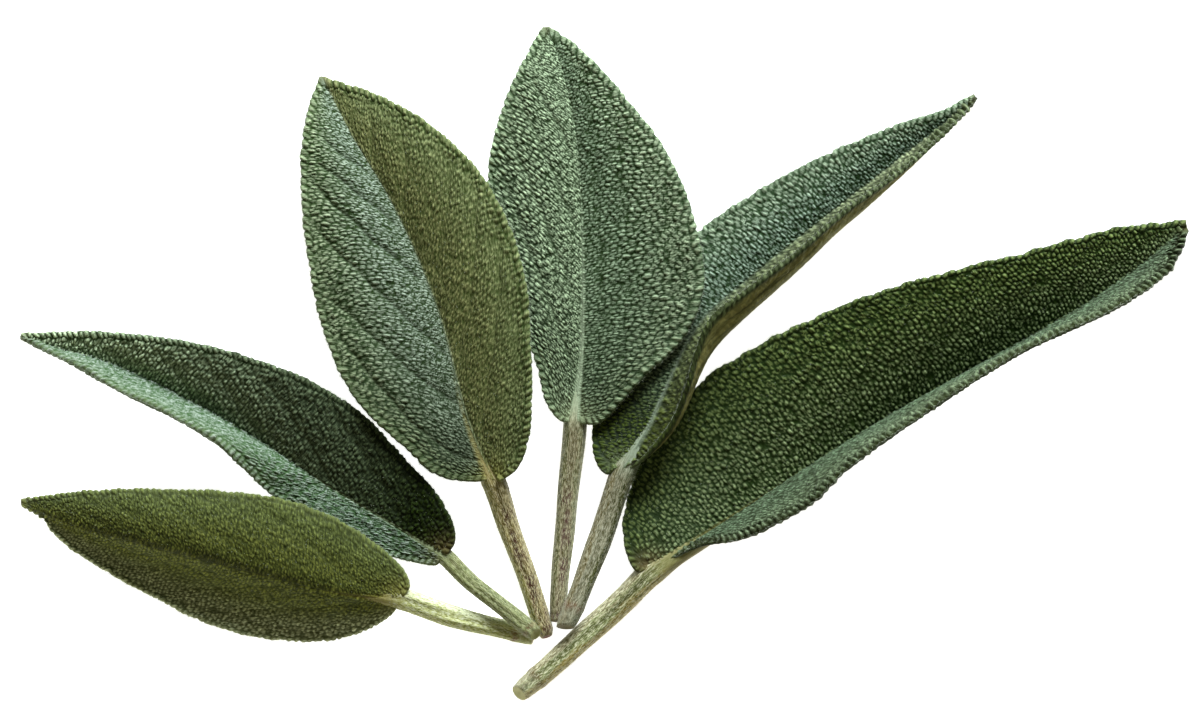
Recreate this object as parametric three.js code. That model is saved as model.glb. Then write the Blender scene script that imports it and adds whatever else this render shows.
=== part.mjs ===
// A bunch of six cut sage leaves, fanned out and lying on their stalks.
// Millimetres, +Z up. The surface that the bunch lies on is z = 0, and the origin is below the
// middle of the fan. Each leaf is a pebbled blade with a scalloped edge, and a stalk that runs on
// under the blade as its midrib.

import * as THREE from 'three';

// ---- driving dimensions ----

const bladeThickness = 0.7;
const padPitch = 1.95; // from one raised pad of the blade to the next, across the blade
const rowPitch = 1.8; // the same along the midrib
const padHeight = 0.38;
const padHollow = 0.2; // how far the underside follows each pad up, which leaves a raised net
const padUnevenness = 0.35; // share by which one pad's height may differ from the next one's
const cornerWander = 0.16; // share of a pitch by which the furrows between pads wander
const rowStagger = 0.2; // share of a pitch by which neighbouring rows are out of step
const scallopDepth = 0.45;
const notchShare = 0.3; // share of a scallop's depth that lies inside the edge's curve
const baseCrowding = 0.35; // how much closer the first rows stand, round the blade's base
const veinSweep = 0.13; // how far ahead of its start on the midrib a row of pads meets the edge
const bellyPower = 1.5; // how fast a half's bulge dies away towards base and tip
const slopeStep = 0.01; // step in s and t for working out which way the blade faces
const sharpestMitre = 1.45; // the most that the fold thickens the blade along the midrib
const ribGap = 0.36; // clearance between a blade and the midrib under it
const ribAtBase = 0.78; // midrib radius just past the blade's base, as a share of the stalk's
const ribTaper = 0.66; // share of the stalk's radius that the midrib loses over the blade
const ribShoulder = 0.07; // share of the blade's length in which the stalk narrows to the midrib
const ribEnd = 0.88; // where the midrib fades into the blade, as a share of its length
const firstSeed = 71; // for the scatter of the pads, one seed a leaf
const stalkRings = 7;
const ribRings = 12;
const ribCrowding = 1.3; // above 1, the midrib's rings stand closer together near the stalk

// Cross-section of a stalk of radius 1, as [sideways, up]: flat below, with a channel on top.
const stalkSection = [
  [-0.45, -1], [0.45, -1], [1, -0.3], [0.95, 0.45], [0.5, 0.95],
  [0, 0.66], [-0.5, 0.95], [-0.95, 0.45], [-1, -0.3],
];

// Each leaf: its midrib from the stalk to the tip, the edge of its left and right halves seen
// from above with the tip ahead, and its stalk from the cut end to the blade, all as [x, y, z]
// in the middle of the blade's thickness. belly is how far the middle of a half bulges out of
// the straight line from midrib to edge, and peak where along the blade it bulges most.
const leaves = [
  {
    // arched over leaf 2's edge, with its own edges bent down
    name: 'leaf_1',
    arched: true,
    bladeColour: 0x59633a,
    stalkColour: 0x9fa66a,
    rib: [
      [-24.1, -28.3, 5], [-32.7, -27.1, 6.2], [-42.2, -24.7, 6.4], [-54.2, -21.7, 5.2],
      [-62.7, -19.4, 2.9], [-69.9, -16.7, 0.4],
    ],
    left: {
      belly: [0, 0, -0.8],
      edge: [
        [-24.4, -28.9, 4.7], [-25.4, -30.1, 3.6], [-30.4, -32.7, 1.6], [-37.6, -33.3, 0.7],
        [-46, -31.8, 0.6], [-54.4, -27.9, 0.6], [-62.8, -22.8, 0.6], [-69.8, -17.3, 0.4],
      ],
    },
    right: {
      belly: [0, 0, 0.6],
      edge: [
        [-23.6, -27.6, 5.1], [-23.1, -26.6, 5.2], [-24.1, -24.4, 5.2], [-27.9, -21.1, 5.2],
        [-33.9, -17.7, 5.2], [-41, -15.8, 5.2], [-54.2, -15.1, 4.2], [-61.5, -15.3, 2.8],
        [-67, -15.9, 1.2], [-69.9, -16.3, 0.4],
      ],
    },
    stalk: {
      radius: 1.1,
      endRadius: 1.1,
      path: [[-9.1, -32.6, 1.1], [-14.8, -31.4, 1.6], [-19.6, -30.1, 2.6]],
    },
  },
  {
    // a valley fold with its narrow half standing steeply
    name: 'leaf_2',
    bladeColour: 0x4f6340,
    stalkColour: 0x8d9a74,
    rib: [
      [-19, -23.1, 4], [-25, -19.4, 3.3], [-31.9, -15.3, 2.8], [-46.7, -6.1, 2.3],
      [-57.7, -0.6, 1.8], [-65, 1.6, 1.3], [-70, 3.2, 0.4],
    ],
    left: {
      belly: [0, 0, 0],
      edge: [
        [-19.4, -23.6, 3.9], [-20, -24.2, 3.8], [-23.2, -23.7, 3.4], [-29.1, -22.1, 3.1],
        [-35.1, -18.8, 3.1], [-40.4, -15.2, 3.6], [-43.4, -12.3, 5.4], [-46.5, -9.4, 7.2],
        [-51.6, -6.3, 7.4], [-57.5, -3.5, 6.2], [-64.9, 0.5, 3.2], [-69.9, 2.8, 0.4],
      ],
    },
    right: {
      belly: [0, 0, 0.4],
      edge: [
        [-18.5, -22.7, 4], [-17.5, -21.3, 4.3], [-17.8, -18.8, 4.4], [-20, -14.9, 4.2],
        [-22.8, -12, 4], [-28.3, -6.2, 4.2], [-35.5, -1.9, 5.2], [-46.5, 1.9, 5.2],
        [-53.9, 3.2, 4.4], [-61.2, 3.8, 2.8], [-69.8, 3.6, 0.4],
      ],
    },
    stalk: {
      radius: 0.98,
      endRadius: 0.95,
      path: [[-8.9, -32.2, 3.5], [-12.9, -29.2, 3.3], [-16, -26.6, 3.1]],
    },
  },
  {
    // broad, over leaf 4 and leaf 2
    name: 'leaf_3',
    bladeColour: 0x5d6c4d,
    stalkColour: 0x8d7f60,
    rib: [
      [-13.2, -14.1, 4.2], [-16, -7.4, 3.7], [-19.9, 6.7, 2.9], [-25.2, 18.9, 2.4],
      [-30.4, 27.6, 1.8], [-33.8, 34.4, 0.4],
    ],
    left: {
      belly: [0, 0, 0.8],
      edge: [
        [-13.9, -14.1, 4.2], [-16, -14.2, 4.4], [-19.9, -13.4, 5.3], [-24.2, -9.7, 5.8],
        [-29.6, -4.4, 5.7], [-33.3, 3.3, 5.2], [-35.6, 14.5, 4.8], [-36.2, 23.1, 4],
        [-35.7, 29.1, 2.8], [-34.1, 34.3, 0.4],
      ],
    },
    right: {
      belly: [0, 0, 0.8],
      edge: [
        [-12.3, -14.2, 4.3], [-10.2, -12.5, 5.2], [-8.8, -8.2, 5.9], [-8.7, 2.6, 6.2],
        [-9.6, 11.3, 6.2], [-13.2, 20.4, 5.4], [-18.6, 26.8, 4.2], [-25.9, 31.6, 2.6],
        [-33.3, 34.2, 0.4],
      ],
    },
    stalk: {
      radius: 1.4,
      endRadius: 1.05,
      path: [[-6.8, -32.7, 1.1], [-8.9, -26.4, 1.4], [-11.4, -19.4, 2]],
    },
  },
  {
    // broad and nearly flat, over leaf 5
    name: 'leaf_4',
    bladeColour: 0x5f7658,
    stalkColour: 0x857f67,
    rib: [
      [-3.4, -6.9, 4.6], [-2.6, 1.1, 3.7], [-2.5, 14.7, 2.6], [-3.4, 28.5, 2], [-5.2, 36.1, 1.3],
      [-6.9, 40.3, 0.4],
    ],
    left: {
      belly: [0, 0, 0.6],
      edge: [
        [-3.9, -7.2, 4.5], [-5.2, -6.9, 4.4], [-6.8, -4.9, 4.2], [-8.4, 1.1, 3.9],
        [-11.8, 6.3, 3.7], [-13.7, 13.5, 3.5], [-13.9, 20.7, 3.5], [-13.1, 27.2, 3.4],
        [-10.4, 34.7, 2.4], [-7.3, 40.3, 0.4],
      ],
    },
    right: {
      belly: [0, 0, 0.6],
      edge: [
        [-2.8, -7.3, 4.6], [-0.5, -7.2, 5.2], [4.1, -2.4, 6.4], [9.6, 3.1, 6.5], [12, 8.7, 6.5],
        [11.5, 15.9, 6.4], [8.3, 24.5, 5.8], [3.4, 31.3, 4.4], [-2.7, 37.9, 2.2],
        [-6.5, 40.3, 0.4],
      ],
    },
    stalk: {
      radius: 1.4,
      endRadius: 0.95,
      path: [[-5.3, -29.9, 1], [-5, -23.6, 1.5], [-4.3, -16.4, 2.2]],
    },
  },
  {
    // lies over leaf 6's base; its right half stands up, bows out and leans back over the midrib
    name: 'leaf_5',
    bladeColour: 0x617762,
    stalkColour: 0x8a8b6e,
    rib: [
      [2.3, -12.7, 5.8], [5.4, -7.8, 5.5], [7.8, -2.5, 5.1], [11.4, 4.5, 4.5], [17.6, 10.3, 3.9],
      [26.3, 17.4, 3.2], [36.5, 25.4, 2], [44.7, 31.9, 0.4],
    ],
    left: {
      belly: [0, 0, 0.6],
      edge: [
        [1.7, -12.9, 5.7], [0.3, -13.3, 5.2], [-1, -11.5, 4.5], [-1.3, -8, 3.5], [-0.1, -2.6, 3],
        [4.4, 7.5, 3], [11.3, 15.6, 3.2], [22.2, 22.7, 3.6], [33.5, 27.9, 3.2], [42, 30.9, 1.6],
        [44.4, 32.3, 0.4],
      ],
    },
    right: {
      belly: [1.75, -1.85, 0],
      peak: 0.3,
      edge: [
        [2.9, -12.5, 5.9], [4.7, -11.1, 6.6], [7.8, -7.3, 7.8], [9.6, -3.2, 8.8],
        [12.4, 4.9, 10], [17.5, 9.2, 10.2], [22.7, 13.1, 9.8], [29, 18.5, 8.6],
        [35.8, 23.3, 6.2], [41.4, 28.2, 3], [44.9, 31.7, 0.4],
      ],
    },
    stalk: {
      radius: 1.45,
      endRadius: 1.25,
      path: [[-4.4, -31.2, 3.5], [-1.4, -23.8, 3.6], [0.5, -18.3, 3.9]],
    },
  },
  {
    // the longest: a broad half that leans, and a narrow one that stands on end
    name: 'leaf_6',
    bladeColour: 0x425429,
    stalkColour: 0x989a72,
    rib: [
      [5.7, -24.9, 4], [16.9, -17.6, 3.1], [31.7, -8, 2.5], [45.5, -0.1, 2.1], [59.1, 8, 1.7],
      [70, 16.4, 0.4],
    ],
    left: {
      belly: [0, 0, 0.7],
      edge: [
        [5, -25.1, 4], [3.8, -24.9, 3.9], [2.7, -22.6, 3.4], [2.3, -19.4, 2.7], [3.1, -15.3, 2],
        [4.7, -11.4, 1.9], [7.1, -8, 2.4], [11.1, -2.8, 4.2], [18.8, 2.3, 6.2], [31.1, 7.9, 7.6],
        [38.8, 10.3, 7.6], [52.1, 13.7, 6], [60.6, 16, 3.9], [69.8, 17.2, 0.4],
      ],
    },
    right: {
      belly: [0, 0, 0],
      edge: [
        [6.2, -25, 4], [8.2, -23.4, 4.2], [11.5, -21.7, 5], [16.5, -20.9, 7.6],
        [24.7, -16.7, 10.6], [29.2, -12.4, 11.2], [37.4, -6.5, 11.4], [49.7, 1.3, 9.8],
        [60.8, 6.4, 6.2], [65.5, 9.2, 4], [68.6, 12, 2], [70.2, 15.8, 0.4],
      ],
    },
    stalk: {
      radius: 1.55,
      endRadius: 1.55,
      path: [[-10.1, -39.8, 1.6], [-6.8, -36.8, 1.6], [-3.4, -33.8, 1.6], [1, -29.7, 1.6]],
    },
  },
];

// ---- helpers ----

// The same even scatter of numbers between -1 and 1 each time that it starts from one seed.
function scatter(seed) {
  let state = seed;
  return () => {
    state = (state * 16807) % 2147483647;
    return (state / 2147483647) * 2 - 1;
  };
}

function smoothCurve(points) {
  const places = points.map((point) => new THREE.Vector3(...point));
  return new THREE.CatmullRomCurve3(places, false, 'centripetal');
}

function meanOf(vectors) {
  const sum = new THREE.Vector3();
  for (const v of vectors) sum.add(v);
  return sum.divideScalar(vectors.length);
}

function closedGeometry(positions, triangles) {
  const geometry = new THREE.BufferGeometry();
  geometry.setAttribute('position', new THREE.Float32BufferAttribute(positions, 3));
  geometry.setIndex(triangles);
  geometry.computeVertexNormals();
  return geometry;
}

// ---- the blade's middle surface ----

function halvesOf(leaf) {
  return [leaf.left, leaf.right].map((half, index) => ({
    curve: smoothCurve(half.edge),
    bellyVector: new THREE.Vector3(...half.belly),
    peak: half.peak ?? 0.5,
    turn: index === 0 ? 1 : -1, // which way round the half's cells are seen from above
  }));
}

// s runs from the stalk to the tip and t from the midrib to the edge of one half. A straight
// line joins the midrib to a point of the edge that is a little further on, and the half's
// belly bends it.
function halfPoint(ribCurve, half, s, t) {
  const edgePoint = half.curve.getPointAt(Math.min(1, s + veinSweep * Math.sin(Math.PI * s)));
  const towardsPeak = s ** (Math.log(0.5) / Math.log(half.peak));
  const bulge = 4 * t * (1 - t) * Math.max(0, Math.sin(Math.PI * towardsPeak)) ** bellyPower;
  return ribCurve.getPointAt(s).lerp(edgePoint, t).addScaledVector(half.bellyVector, bulge);
}

function halfNormal(ribCurve, half, s, t) {
  const [s0, s1] = [Math.max(0, s - slopeStep), Math.min(1, s + slopeStep)];
  const [t0, t1] = [Math.max(0, t - slopeStep), Math.min(1, t + slopeStep)];
  const offRib = Math.max(t, slopeStep);
  const along = halfPoint(ribCurve, half, s1, offRib).sub(halfPoint(ribCurve, half, s0, offRib));
  const across = halfPoint(ribCurve, half, s, t1).sub(halfPoint(ribCurve, half, s, t0));
  return along.cross(across).multiplyScalar(half.turn).normalize();
}

// On the midrib the two halves' normals are averaged, and lengthened as a mitre is so that the
// fold keeps the blade's thickness.
function foldNormal(ribCurve, left, right, s) {
  const leftNormal = halfNormal(ribCurve, left, s, 0);
  const rightNormal = halfNormal(ribCurve, right, s, 0);
  const normal = leftNormal.clone().add(rightNormal).normalize();
  const mitre = Math.min(sharpestMitre, 1 / normal.dot(leftNormal));
  return normal.multiplyScalar(mitre);
}

// ---- a blade ----

// Rows of corners run out from the midrib to both edges, a pitch apart. Each cell between two
// rows is a fan of triangles round a raised pad, with one more corner pushed out on the edge as
// a scallop. The underside has the same triangles, a blade's thickness below.
function bladeGeometry(leaf, seed) {
  const random = scatter(seed);
  const ribCurve = smoothCurve(leaf.rib);
  const halves = halvesOf(leaf);
  const rowCount = Math.round(ribCurve.getLength() / rowPitch);
  const half = bladeThickness / 2;
  const corners = []; // each with its place, its normal and the heights of both faces over it
  const addCorner = (place, normal, above = half, below = -half) => {
    corners.push({ place, normal, heights: [above, below] });
    return corners.length - 1;
  };

  const rows = [];
  for (let i = 0; i <= rowCount; i++) {
    const u = i / rowCount;
    const s = u * (1 - baseCrowding * (1 - u) ** 6);
    const ribNormal = foldNormal(ribCurve, halves[0], halves[1], s);
    const ribCorner = addCorner(ribCurve.getPointAt(s), ribNormal);
    rows.push(halves.map((side) => {
      const width = ribCurve.getPointAt(s).distanceTo(halfPoint(ribCurve, side, s, 1));
      const inner = Math.max(0, Math.round(width / padPitch) - 1);
      const row = [ribCorner];
      for (let k = 1; k <= inner; k++) {
        const stagger = rowStagger * (i % 2 === 0 ? 1 : -1);
        const t = ((k + stagger + cornerWander * random()) * padPitch) / width;
        const atEnd = i === 0 || i === rowCount;
        const wander = atEnd ? 0 : (cornerWander * random()) / rowCount;
        const place = halfPoint(ribCurve, side, s + wander, t);
        row.push(addCorner(place, halfNormal(ribCurve, side, s + wander, t)));
      }
      const notch = 1 - (notchShare * scallopDepth) / Math.max(width, padPitch);
      row.push(addCorner(halfPoint(ribCurve, side, s, notch), halfNormal(ribCurve, side, s, 1)));
      return row;
    }));
  }

  const faces = [];
  const placesOf = (ring) => ring.map((corner) => corners[corner].place);
  const addCell = (ring, turn) => {
    const ordered = turn > 0 ? [...ring].reverse() : ring;
    const [a, b, c] = placesOf(ring);
    const size = Math.sqrt(a.distanceTo(b) * b.distanceTo(c)) / padPitch;
    const share = Math.min(1, size) * (1 + padUnevenness * random());
    const normal = meanOf(ordered.map((corner) => corners[corner].normal)).normalize();
    const pad = addCorner(
      meanOf(placesOf(ordered)), normal, half + padHeight * share, padHollow * share - half,
    );
    ordered.forEach((corner, n) => faces.push([corner, ordered[(n + 1) % ordered.length], pad]));
  };
  const addEdgeCell = (near, far, turn) => {
    const [nearIn, farIn, nearOut, farOut] = placesOf([near[0], far[0], near.at(-1), far.at(-1)]);
    const place = meanOf([nearOut, farOut]);
    const outward = place.clone().sub(meanOf([nearIn, farIn])).normalize();
    const depth = scallopDepth * Math.min(1, nearOut.distanceTo(farOut) / rowPitch);
    const normal = meanOf([corners[near.at(-1)].normal, corners[far.at(-1)].normal]);
    const scallop = addCorner(place.addScaledVector(outward, depth), normal);
    addCell([...near, scallop, ...far.reverse()], turn);
  };
  for (let i = 0; i < rowCount; i++) {
    halves.forEach(({ turn }, side) => {
      const near = rows[i][side];
      const far = rows[i + 1][side];
      const shared = Math.min(near.length, far.length) - 2;
      for (let k = 0; k < shared; k++) addCell([near[k], near[k + 1], far[k + 1], far[k]], turn);
      addEdgeCell(near.slice(shared), far.slice(shared), turn);
    });
  }
  return thickened(corners, faces);
}

// Makes the upper and the lower face from one set of triangles, and closes the rim between them.
function thickened(corners, faces) {
  const positions = [];
  for (const level of [0, 1]) {
    for (const { place, normal, heights } of corners) {
      positions.push(...place.clone().addScaledVector(normal, heights[level]).toArray());
    }
  }
  const count = corners.length;
  const triangles = [];
  const directed = new Set();
  for (const [a, b, c] of faces) {
    triangles.push(a, b, c, b + count, a + count, c + count);
    for (const [from, to] of [[a, b], [b, c], [c, a]]) directed.add(from * count + to);
  }
  for (const edge of directed) {
    const from = Math.floor(edge / count);
    const to = edge % count;
    if (directed.has(to * count + from)) continue;
    triangles.push(from + count, to + count, to, from + count, to, from);
  }
  return closedGeometry(positions, triangles);
}

// ---- a stalk with its midrib ----

// The section is carried along the stalk and on under the fold of the blade, where it tapers. It
// follows the inner side of the ridge of an arched blade, and hangs more nearly straight below the
// fold of the others.
function stalkGeometry(leaf) {
  const { radius, endRadius, path } = leaf.stalk;
  const ribCurve = smoothCurve(leaf.rib);
  const [left, right] = halvesOf(leaf);
  const straightUp = new THREE.Vector3(0, 0, 1);
  const underBlade = [];
  for (let i = 0; i <= ribRings; i++) {
    const s = ribEnd * (i / ribRings) ** ribCrowding;
    const normal = foldNormal(ribCurve, left, right, s);
    const shoulder = Math.max(0, 1 - s / ribShoulder) ** 2;
    const ribRadius = radius * THREE.MathUtils.lerp(ribAtBase - ribTaper * s, 1, shoulder);
    const depth = (bladeThickness / 2) * normal.length() + ribGap + ribRadius;
    normal.normalize();
    if (!leaf.arched) normal.add(straightUp).normalize();
    const place = ribCurve.getPointAt(s).addScaledVector(normal, -depth);
    underBlade.push({ place, radius: ribRadius });
  }
  const stalkCurve = smoothCurve([...path, underBlade[0].place.toArray()]);
  const rings = [];
  for (let i = 0; i < stalkRings; i++) {
    const u = i / stalkRings;
    const place = stalkCurve.getPointAt(u);
    rings.push({ place, radius: THREE.MathUtils.lerp(endRadius, radius, u) });
  }
  rings.push(...underBlade);

  const sides = stalkSection.length;
  const positions = [];
  rings.forEach((ring, i) => {
    const before = rings[Math.max(0, i - 1)].place;
    const after = rings[Math.min(rings.length - 1, i + 1)].place;
    const ahead = after.clone().sub(before).normalize();
    const sideways = ahead.clone().cross(straightUp).normalize();
    const up = sideways.clone().cross(ahead);
    for (const [x, y] of stalkSection) {
      const corner = ring.place.clone();
      corner.addScaledVector(sideways, x * ring.radius).addScaledVector(up, y * ring.radius);
      positions.push(...corner.toArray());
    }
  });
  const triangles = [];
  for (let i = 0; i < rings.length - 1; i++) {
    for (let k = 0; k < sides; k++) {
      const a = i * sides + k;
      const b = i * sides + ((k + 1) % sides);
      triangles.push(a, b + sides, b, a, a + sides, b + sides);
    }
  }
  const last = (rings.length - 1) * sides;
  const outline = stalkSection.map(([x, y]) => new THREE.Vector2(x, y));
  for (const [a, b, c] of THREE.ShapeUtils.triangulateShape(outline, [])) {
    triangles.push(a, b, c, last + c, last + b, last + a);
  }
  return closedGeometry(positions, triangles);
}

// ---- the bunch ----

const bunch = new THREE.Group();
leaves.forEach((leaf, index) => {
  const blade = new THREE.Mesh(
    bladeGeometry(leaf, firstSeed + index),
    new THREE.MeshStandardMaterial({ color: leaf.bladeColour, roughness: 0.85, metalness: 0 }),
  );
  blade.name = `${leaf.name}_blade`;
  const stalk = new THREE.Mesh(
    stalkGeometry(leaf),
    new THREE.MeshStandardMaterial({ color: leaf.stalkColour, roughness: 0.7, metalness: 0 }),
  );
  stalk.name = `${leaf.name}_stalk`;
  bunch.add(blade, stalk);
});

export default bunch;
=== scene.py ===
# Six cut sage leaves, fanned out on a pale surface. The tables are in millimetres, as measured on
# the bunch, and the meshes are in metres. Every blade is a puckered sheet over a midrib, an edge
# on either side and a stalk, and the down on them is many short hairs.
import math

import bpy
import numpy as np
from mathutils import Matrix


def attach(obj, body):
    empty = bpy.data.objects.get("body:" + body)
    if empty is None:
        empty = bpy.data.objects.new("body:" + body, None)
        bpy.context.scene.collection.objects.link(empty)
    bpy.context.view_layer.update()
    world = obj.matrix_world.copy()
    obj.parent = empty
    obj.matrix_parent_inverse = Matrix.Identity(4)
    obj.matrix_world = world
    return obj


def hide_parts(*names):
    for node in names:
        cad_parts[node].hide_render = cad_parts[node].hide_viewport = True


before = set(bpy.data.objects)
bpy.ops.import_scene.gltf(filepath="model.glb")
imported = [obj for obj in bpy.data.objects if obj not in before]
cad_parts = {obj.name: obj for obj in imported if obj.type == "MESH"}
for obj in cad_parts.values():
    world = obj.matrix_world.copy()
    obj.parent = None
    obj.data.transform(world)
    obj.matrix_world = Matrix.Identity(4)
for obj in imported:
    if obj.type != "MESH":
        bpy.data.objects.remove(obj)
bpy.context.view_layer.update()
scene = bpy.context.scene
mm = 0.001
rgba = {"data_type": "RGBA"}    # set on the nodes that mix colours


def ease(low, high, values):
    # 0 below low, 1 above high and an S-curve between
    share = np.clip((values - low) / (high - low), 0, 1)
    return share * share * (3 - 2 * share)


def unit(vectors):
    return vectors / np.maximum(np.linalg.norm(vectors, axis=-1, keepdims=True), 1e-9)


def bell(values, width):
    # 1 at 0, and dying away on both sides as a Gauss curve
    return np.exp(-(values / width) ** 2)


def added(steps):
    # 0 and the running sums of the steps
    return np.concatenate([[0], np.cumsum(steps)])


def lengthTo(points):
    # how long the line of points is up to each of them
    return added(np.linalg.norm(np.diff(points, axis=0), axis=1))


def between(at, known, places):
    # the places at these shares, where the known shares have these places
    return np.stack([np.interp(at, known, places[:, axis]) for axis in range(3)], -1)


def facesOf(*corners):
    # a face for each place in the arrays of its corners
    return np.stack(corners, -1).reshape(-1, len(corners)).tolist()


def curvePoints(points, shares):
    # Centripetal Catmull-Rom curve through the points, taken at shares of its length. Each span is
    # a cubic, and its end slopes come from the neighbouring points over the roots of their gaps.
    p = np.asarray(points, float)
    p = np.vstack([2 * p[0] - p[1], p, 2 * p[-1] - p[-2]])
    gap = np.maximum(np.linalg.norm(np.diff(p, axis=0), axis=1), 1e-4) ** 0.5
    u = np.linspace(0, 1, 60, endpoint=False)[:, None]
    spans = []
    for a, b, c, d, g0, g1, g2 in zip(p, p[1:], p[2:], p[3:], gap, gap[1:], gap[2:]):
        slopeB = ((b - a) / g0 - (c - a) / (g0 + g1) + (c - b) / g1) * g1
        slopeC = ((c - b) / g1 - (d - b) / (g1 + g2) + (d - c) / g2) * g1
        spans.append(b + slopeB * u + (3 * (c - b) - 2 * slopeB - slopeC) * u ** 2
                     + (2 * (b - c) + slopeB + slopeC) * u ** 3)
    dense = np.vstack(spans + [p[-2:-1]])
    run = lengthTo(dense)
    return between(shares, run / run[-1], dense), run[-1]


def linear(hexColour):
    # sRGB hex to linear light, with alpha 1
    parts = [int(hexColour[i:i + 2], 16) / 255 for i in (1, 3, 5)]
    return [p / 12.92 if p <= 0.04045 else ((p + 0.055) / 1.055) ** 2.4 for p in parts] + [1]


def newMaterial(name, attributes=()):
    # an empty material, a function that adds a node to it, and nodes that read the attributes
    material = bpy.data.materials.new(name)
    material.use_nodes = True
    tree = material.node_tree
    tree.nodes.clear()

    def addNode(kind, inputs=None, **settings):
        # settings are the node's own; an input gets a value, a colour, an output, or a node's
        # first live one
        node = tree.nodes.new("ShaderNode" + kind)
        for key, value in settings.items():
            setattr(node, key, value)
        for key, value in (inputs or {}).items():
            if isinstance(value, bpy.types.Node):
                value = next(output for output in value.outputs if output.enabled)
            if isinstance(value, bpy.types.NodeSocket):
                tree.links.new(value, node.inputs[key])
            else:
                node.inputs[key].default_value = linear(value) if isinstance(value, str) else value
        return node

    return material, addNode, {key: addNode("Attribute", attribute_name=key) for key in attributes}


def addObject(name, data):
    thing = bpy.data.objects.new(name, data)
    scene.collection.objects.link(thing)
    return thing


def addPiece(name, places, faces, values, flat, material):
    # places in millimetres; values are numbers and flat is a place in the plane, for each vertex
    mesh = bpy.data.meshes.new(name)
    mesh.from_pydata(places * mm, [], faces)
    mesh.polygons.foreach_set("use_smooth", np.ones(len(mesh.polygons), bool))
    for key, value in values.items():
        layer = mesh.attributes.new(key, "FLOAT", "POINT")
        layer.data.foreach_set("value", np.ascontiguousarray(value, np.float32))
    corners = np.empty(len(mesh.loops), np.int32)
    mesh.loops.foreach_get("vertex_index", corners)
    uv = mesh.uv_layers.new(name="flat")
    uv.data.foreach_set("uv", np.ascontiguousarray(flat[corners], np.float32).ravel())
    mesh.materials.append(material)
    piece = addObject(name, mesh)
    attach(piece, "root")
    print(name, sum(len(face) - 2 for face in faces), "triangles")
    return piece


# What all blades share. Along the midrib s runs from stalk to tip, and t from midrib to edge.
bladeForm = {
    "thickness": 0.5,
    "rimWidth": 0.3,      # over which the thickness rounds off at the edge
    "sweep": 0.13,        # how far ahead of its start on the midrib a side vein meets the edge
    "crowding": 0.35,     # how much closer the first rows stand, round the blade's base
    "spare": [1.04, 1.06],  # how many more rows and columns there are than even steps give
    "edgeColumns": [1.1, 0.035],  # how much denser columns stand at the edge, over which share
    "ribColumns": [0.5, 0.04],    # and the same at the midrib
    "bellyPower": 1.5,    # how fast a half's bulge dies away towards base and tip
    # zones of pads from midrib to edge: their size, and from and to which share of the breadth
    "padZones": [[0.66, 0.0, 0.16], [0.82, 0.16, 0.36], [1.0, 0.36, 0.74], [1.16, 0.74, 2.0]],
    "zoneBlur": 0.03,     # how far the pads of two zones mix, as a share of the half's breadth
    "tipPads": 0.25,      # how much closer rows of pads stand at the tip
    "waver": 0.4,         # how far the rows waver, in rows
    "stray": [0.28, 0.36, 0.22],  # pads from their places: in rows, along a row, along the edge
    "padSizes": 0.22,     # how much the pads differ in size
    "padHeights": 0.3,    # and in height
    "padEnds": 1.2,       # how much faster a pad rises at its ends
    "pushes": 0.45,       # how much the edge pads differ in how far they push the edge out
    "edgeInset": 0.3,     # where the edge pads' middles are, times the half's fringe
    "edgeReach": 0.36,    # and how much further in they reach, again times the fringe
    "edgeLean": 0.45,     # how far edge pads point towards the tip
    "scallop": 0.2,       # how far an edge pad pushes the edge out
    "veinWidth": 0.26,
    "veinDepth": 0.7,     # how much of the pads' height is missing on a side vein
    "veinSunk": 0.3,      # and how deep it lies, times the depth of the pleats
    "pleatSpan": 0.24,    # the pleats' depth from which their side veins are quite clear
    "cord": [0.1, 0.03],  # how high the midrib's cord stands, and how deep it is beside it
    "wave": 0.12,         # how far the edge rises and falls
    "uneven": 0.1,        # and how far it strays in and out, times the half's ragged
    "widthAt": [0, 0.16, 1],      # shares of the blade at which midribWidth is given
    "shadeAt": [0.1, 0.38, 0.8],  # and at which shade is
    "reaches": [0.6, 2.2, 1.0],   # how far in the colours of rim, base and tip reach
    "foldPasses": 32,     # smoothing passes for a fold of 1 mm
    "hollow": [0.55, 0.65],  # the relief seen from below: hollow, but standing out at the edge
}

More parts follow.
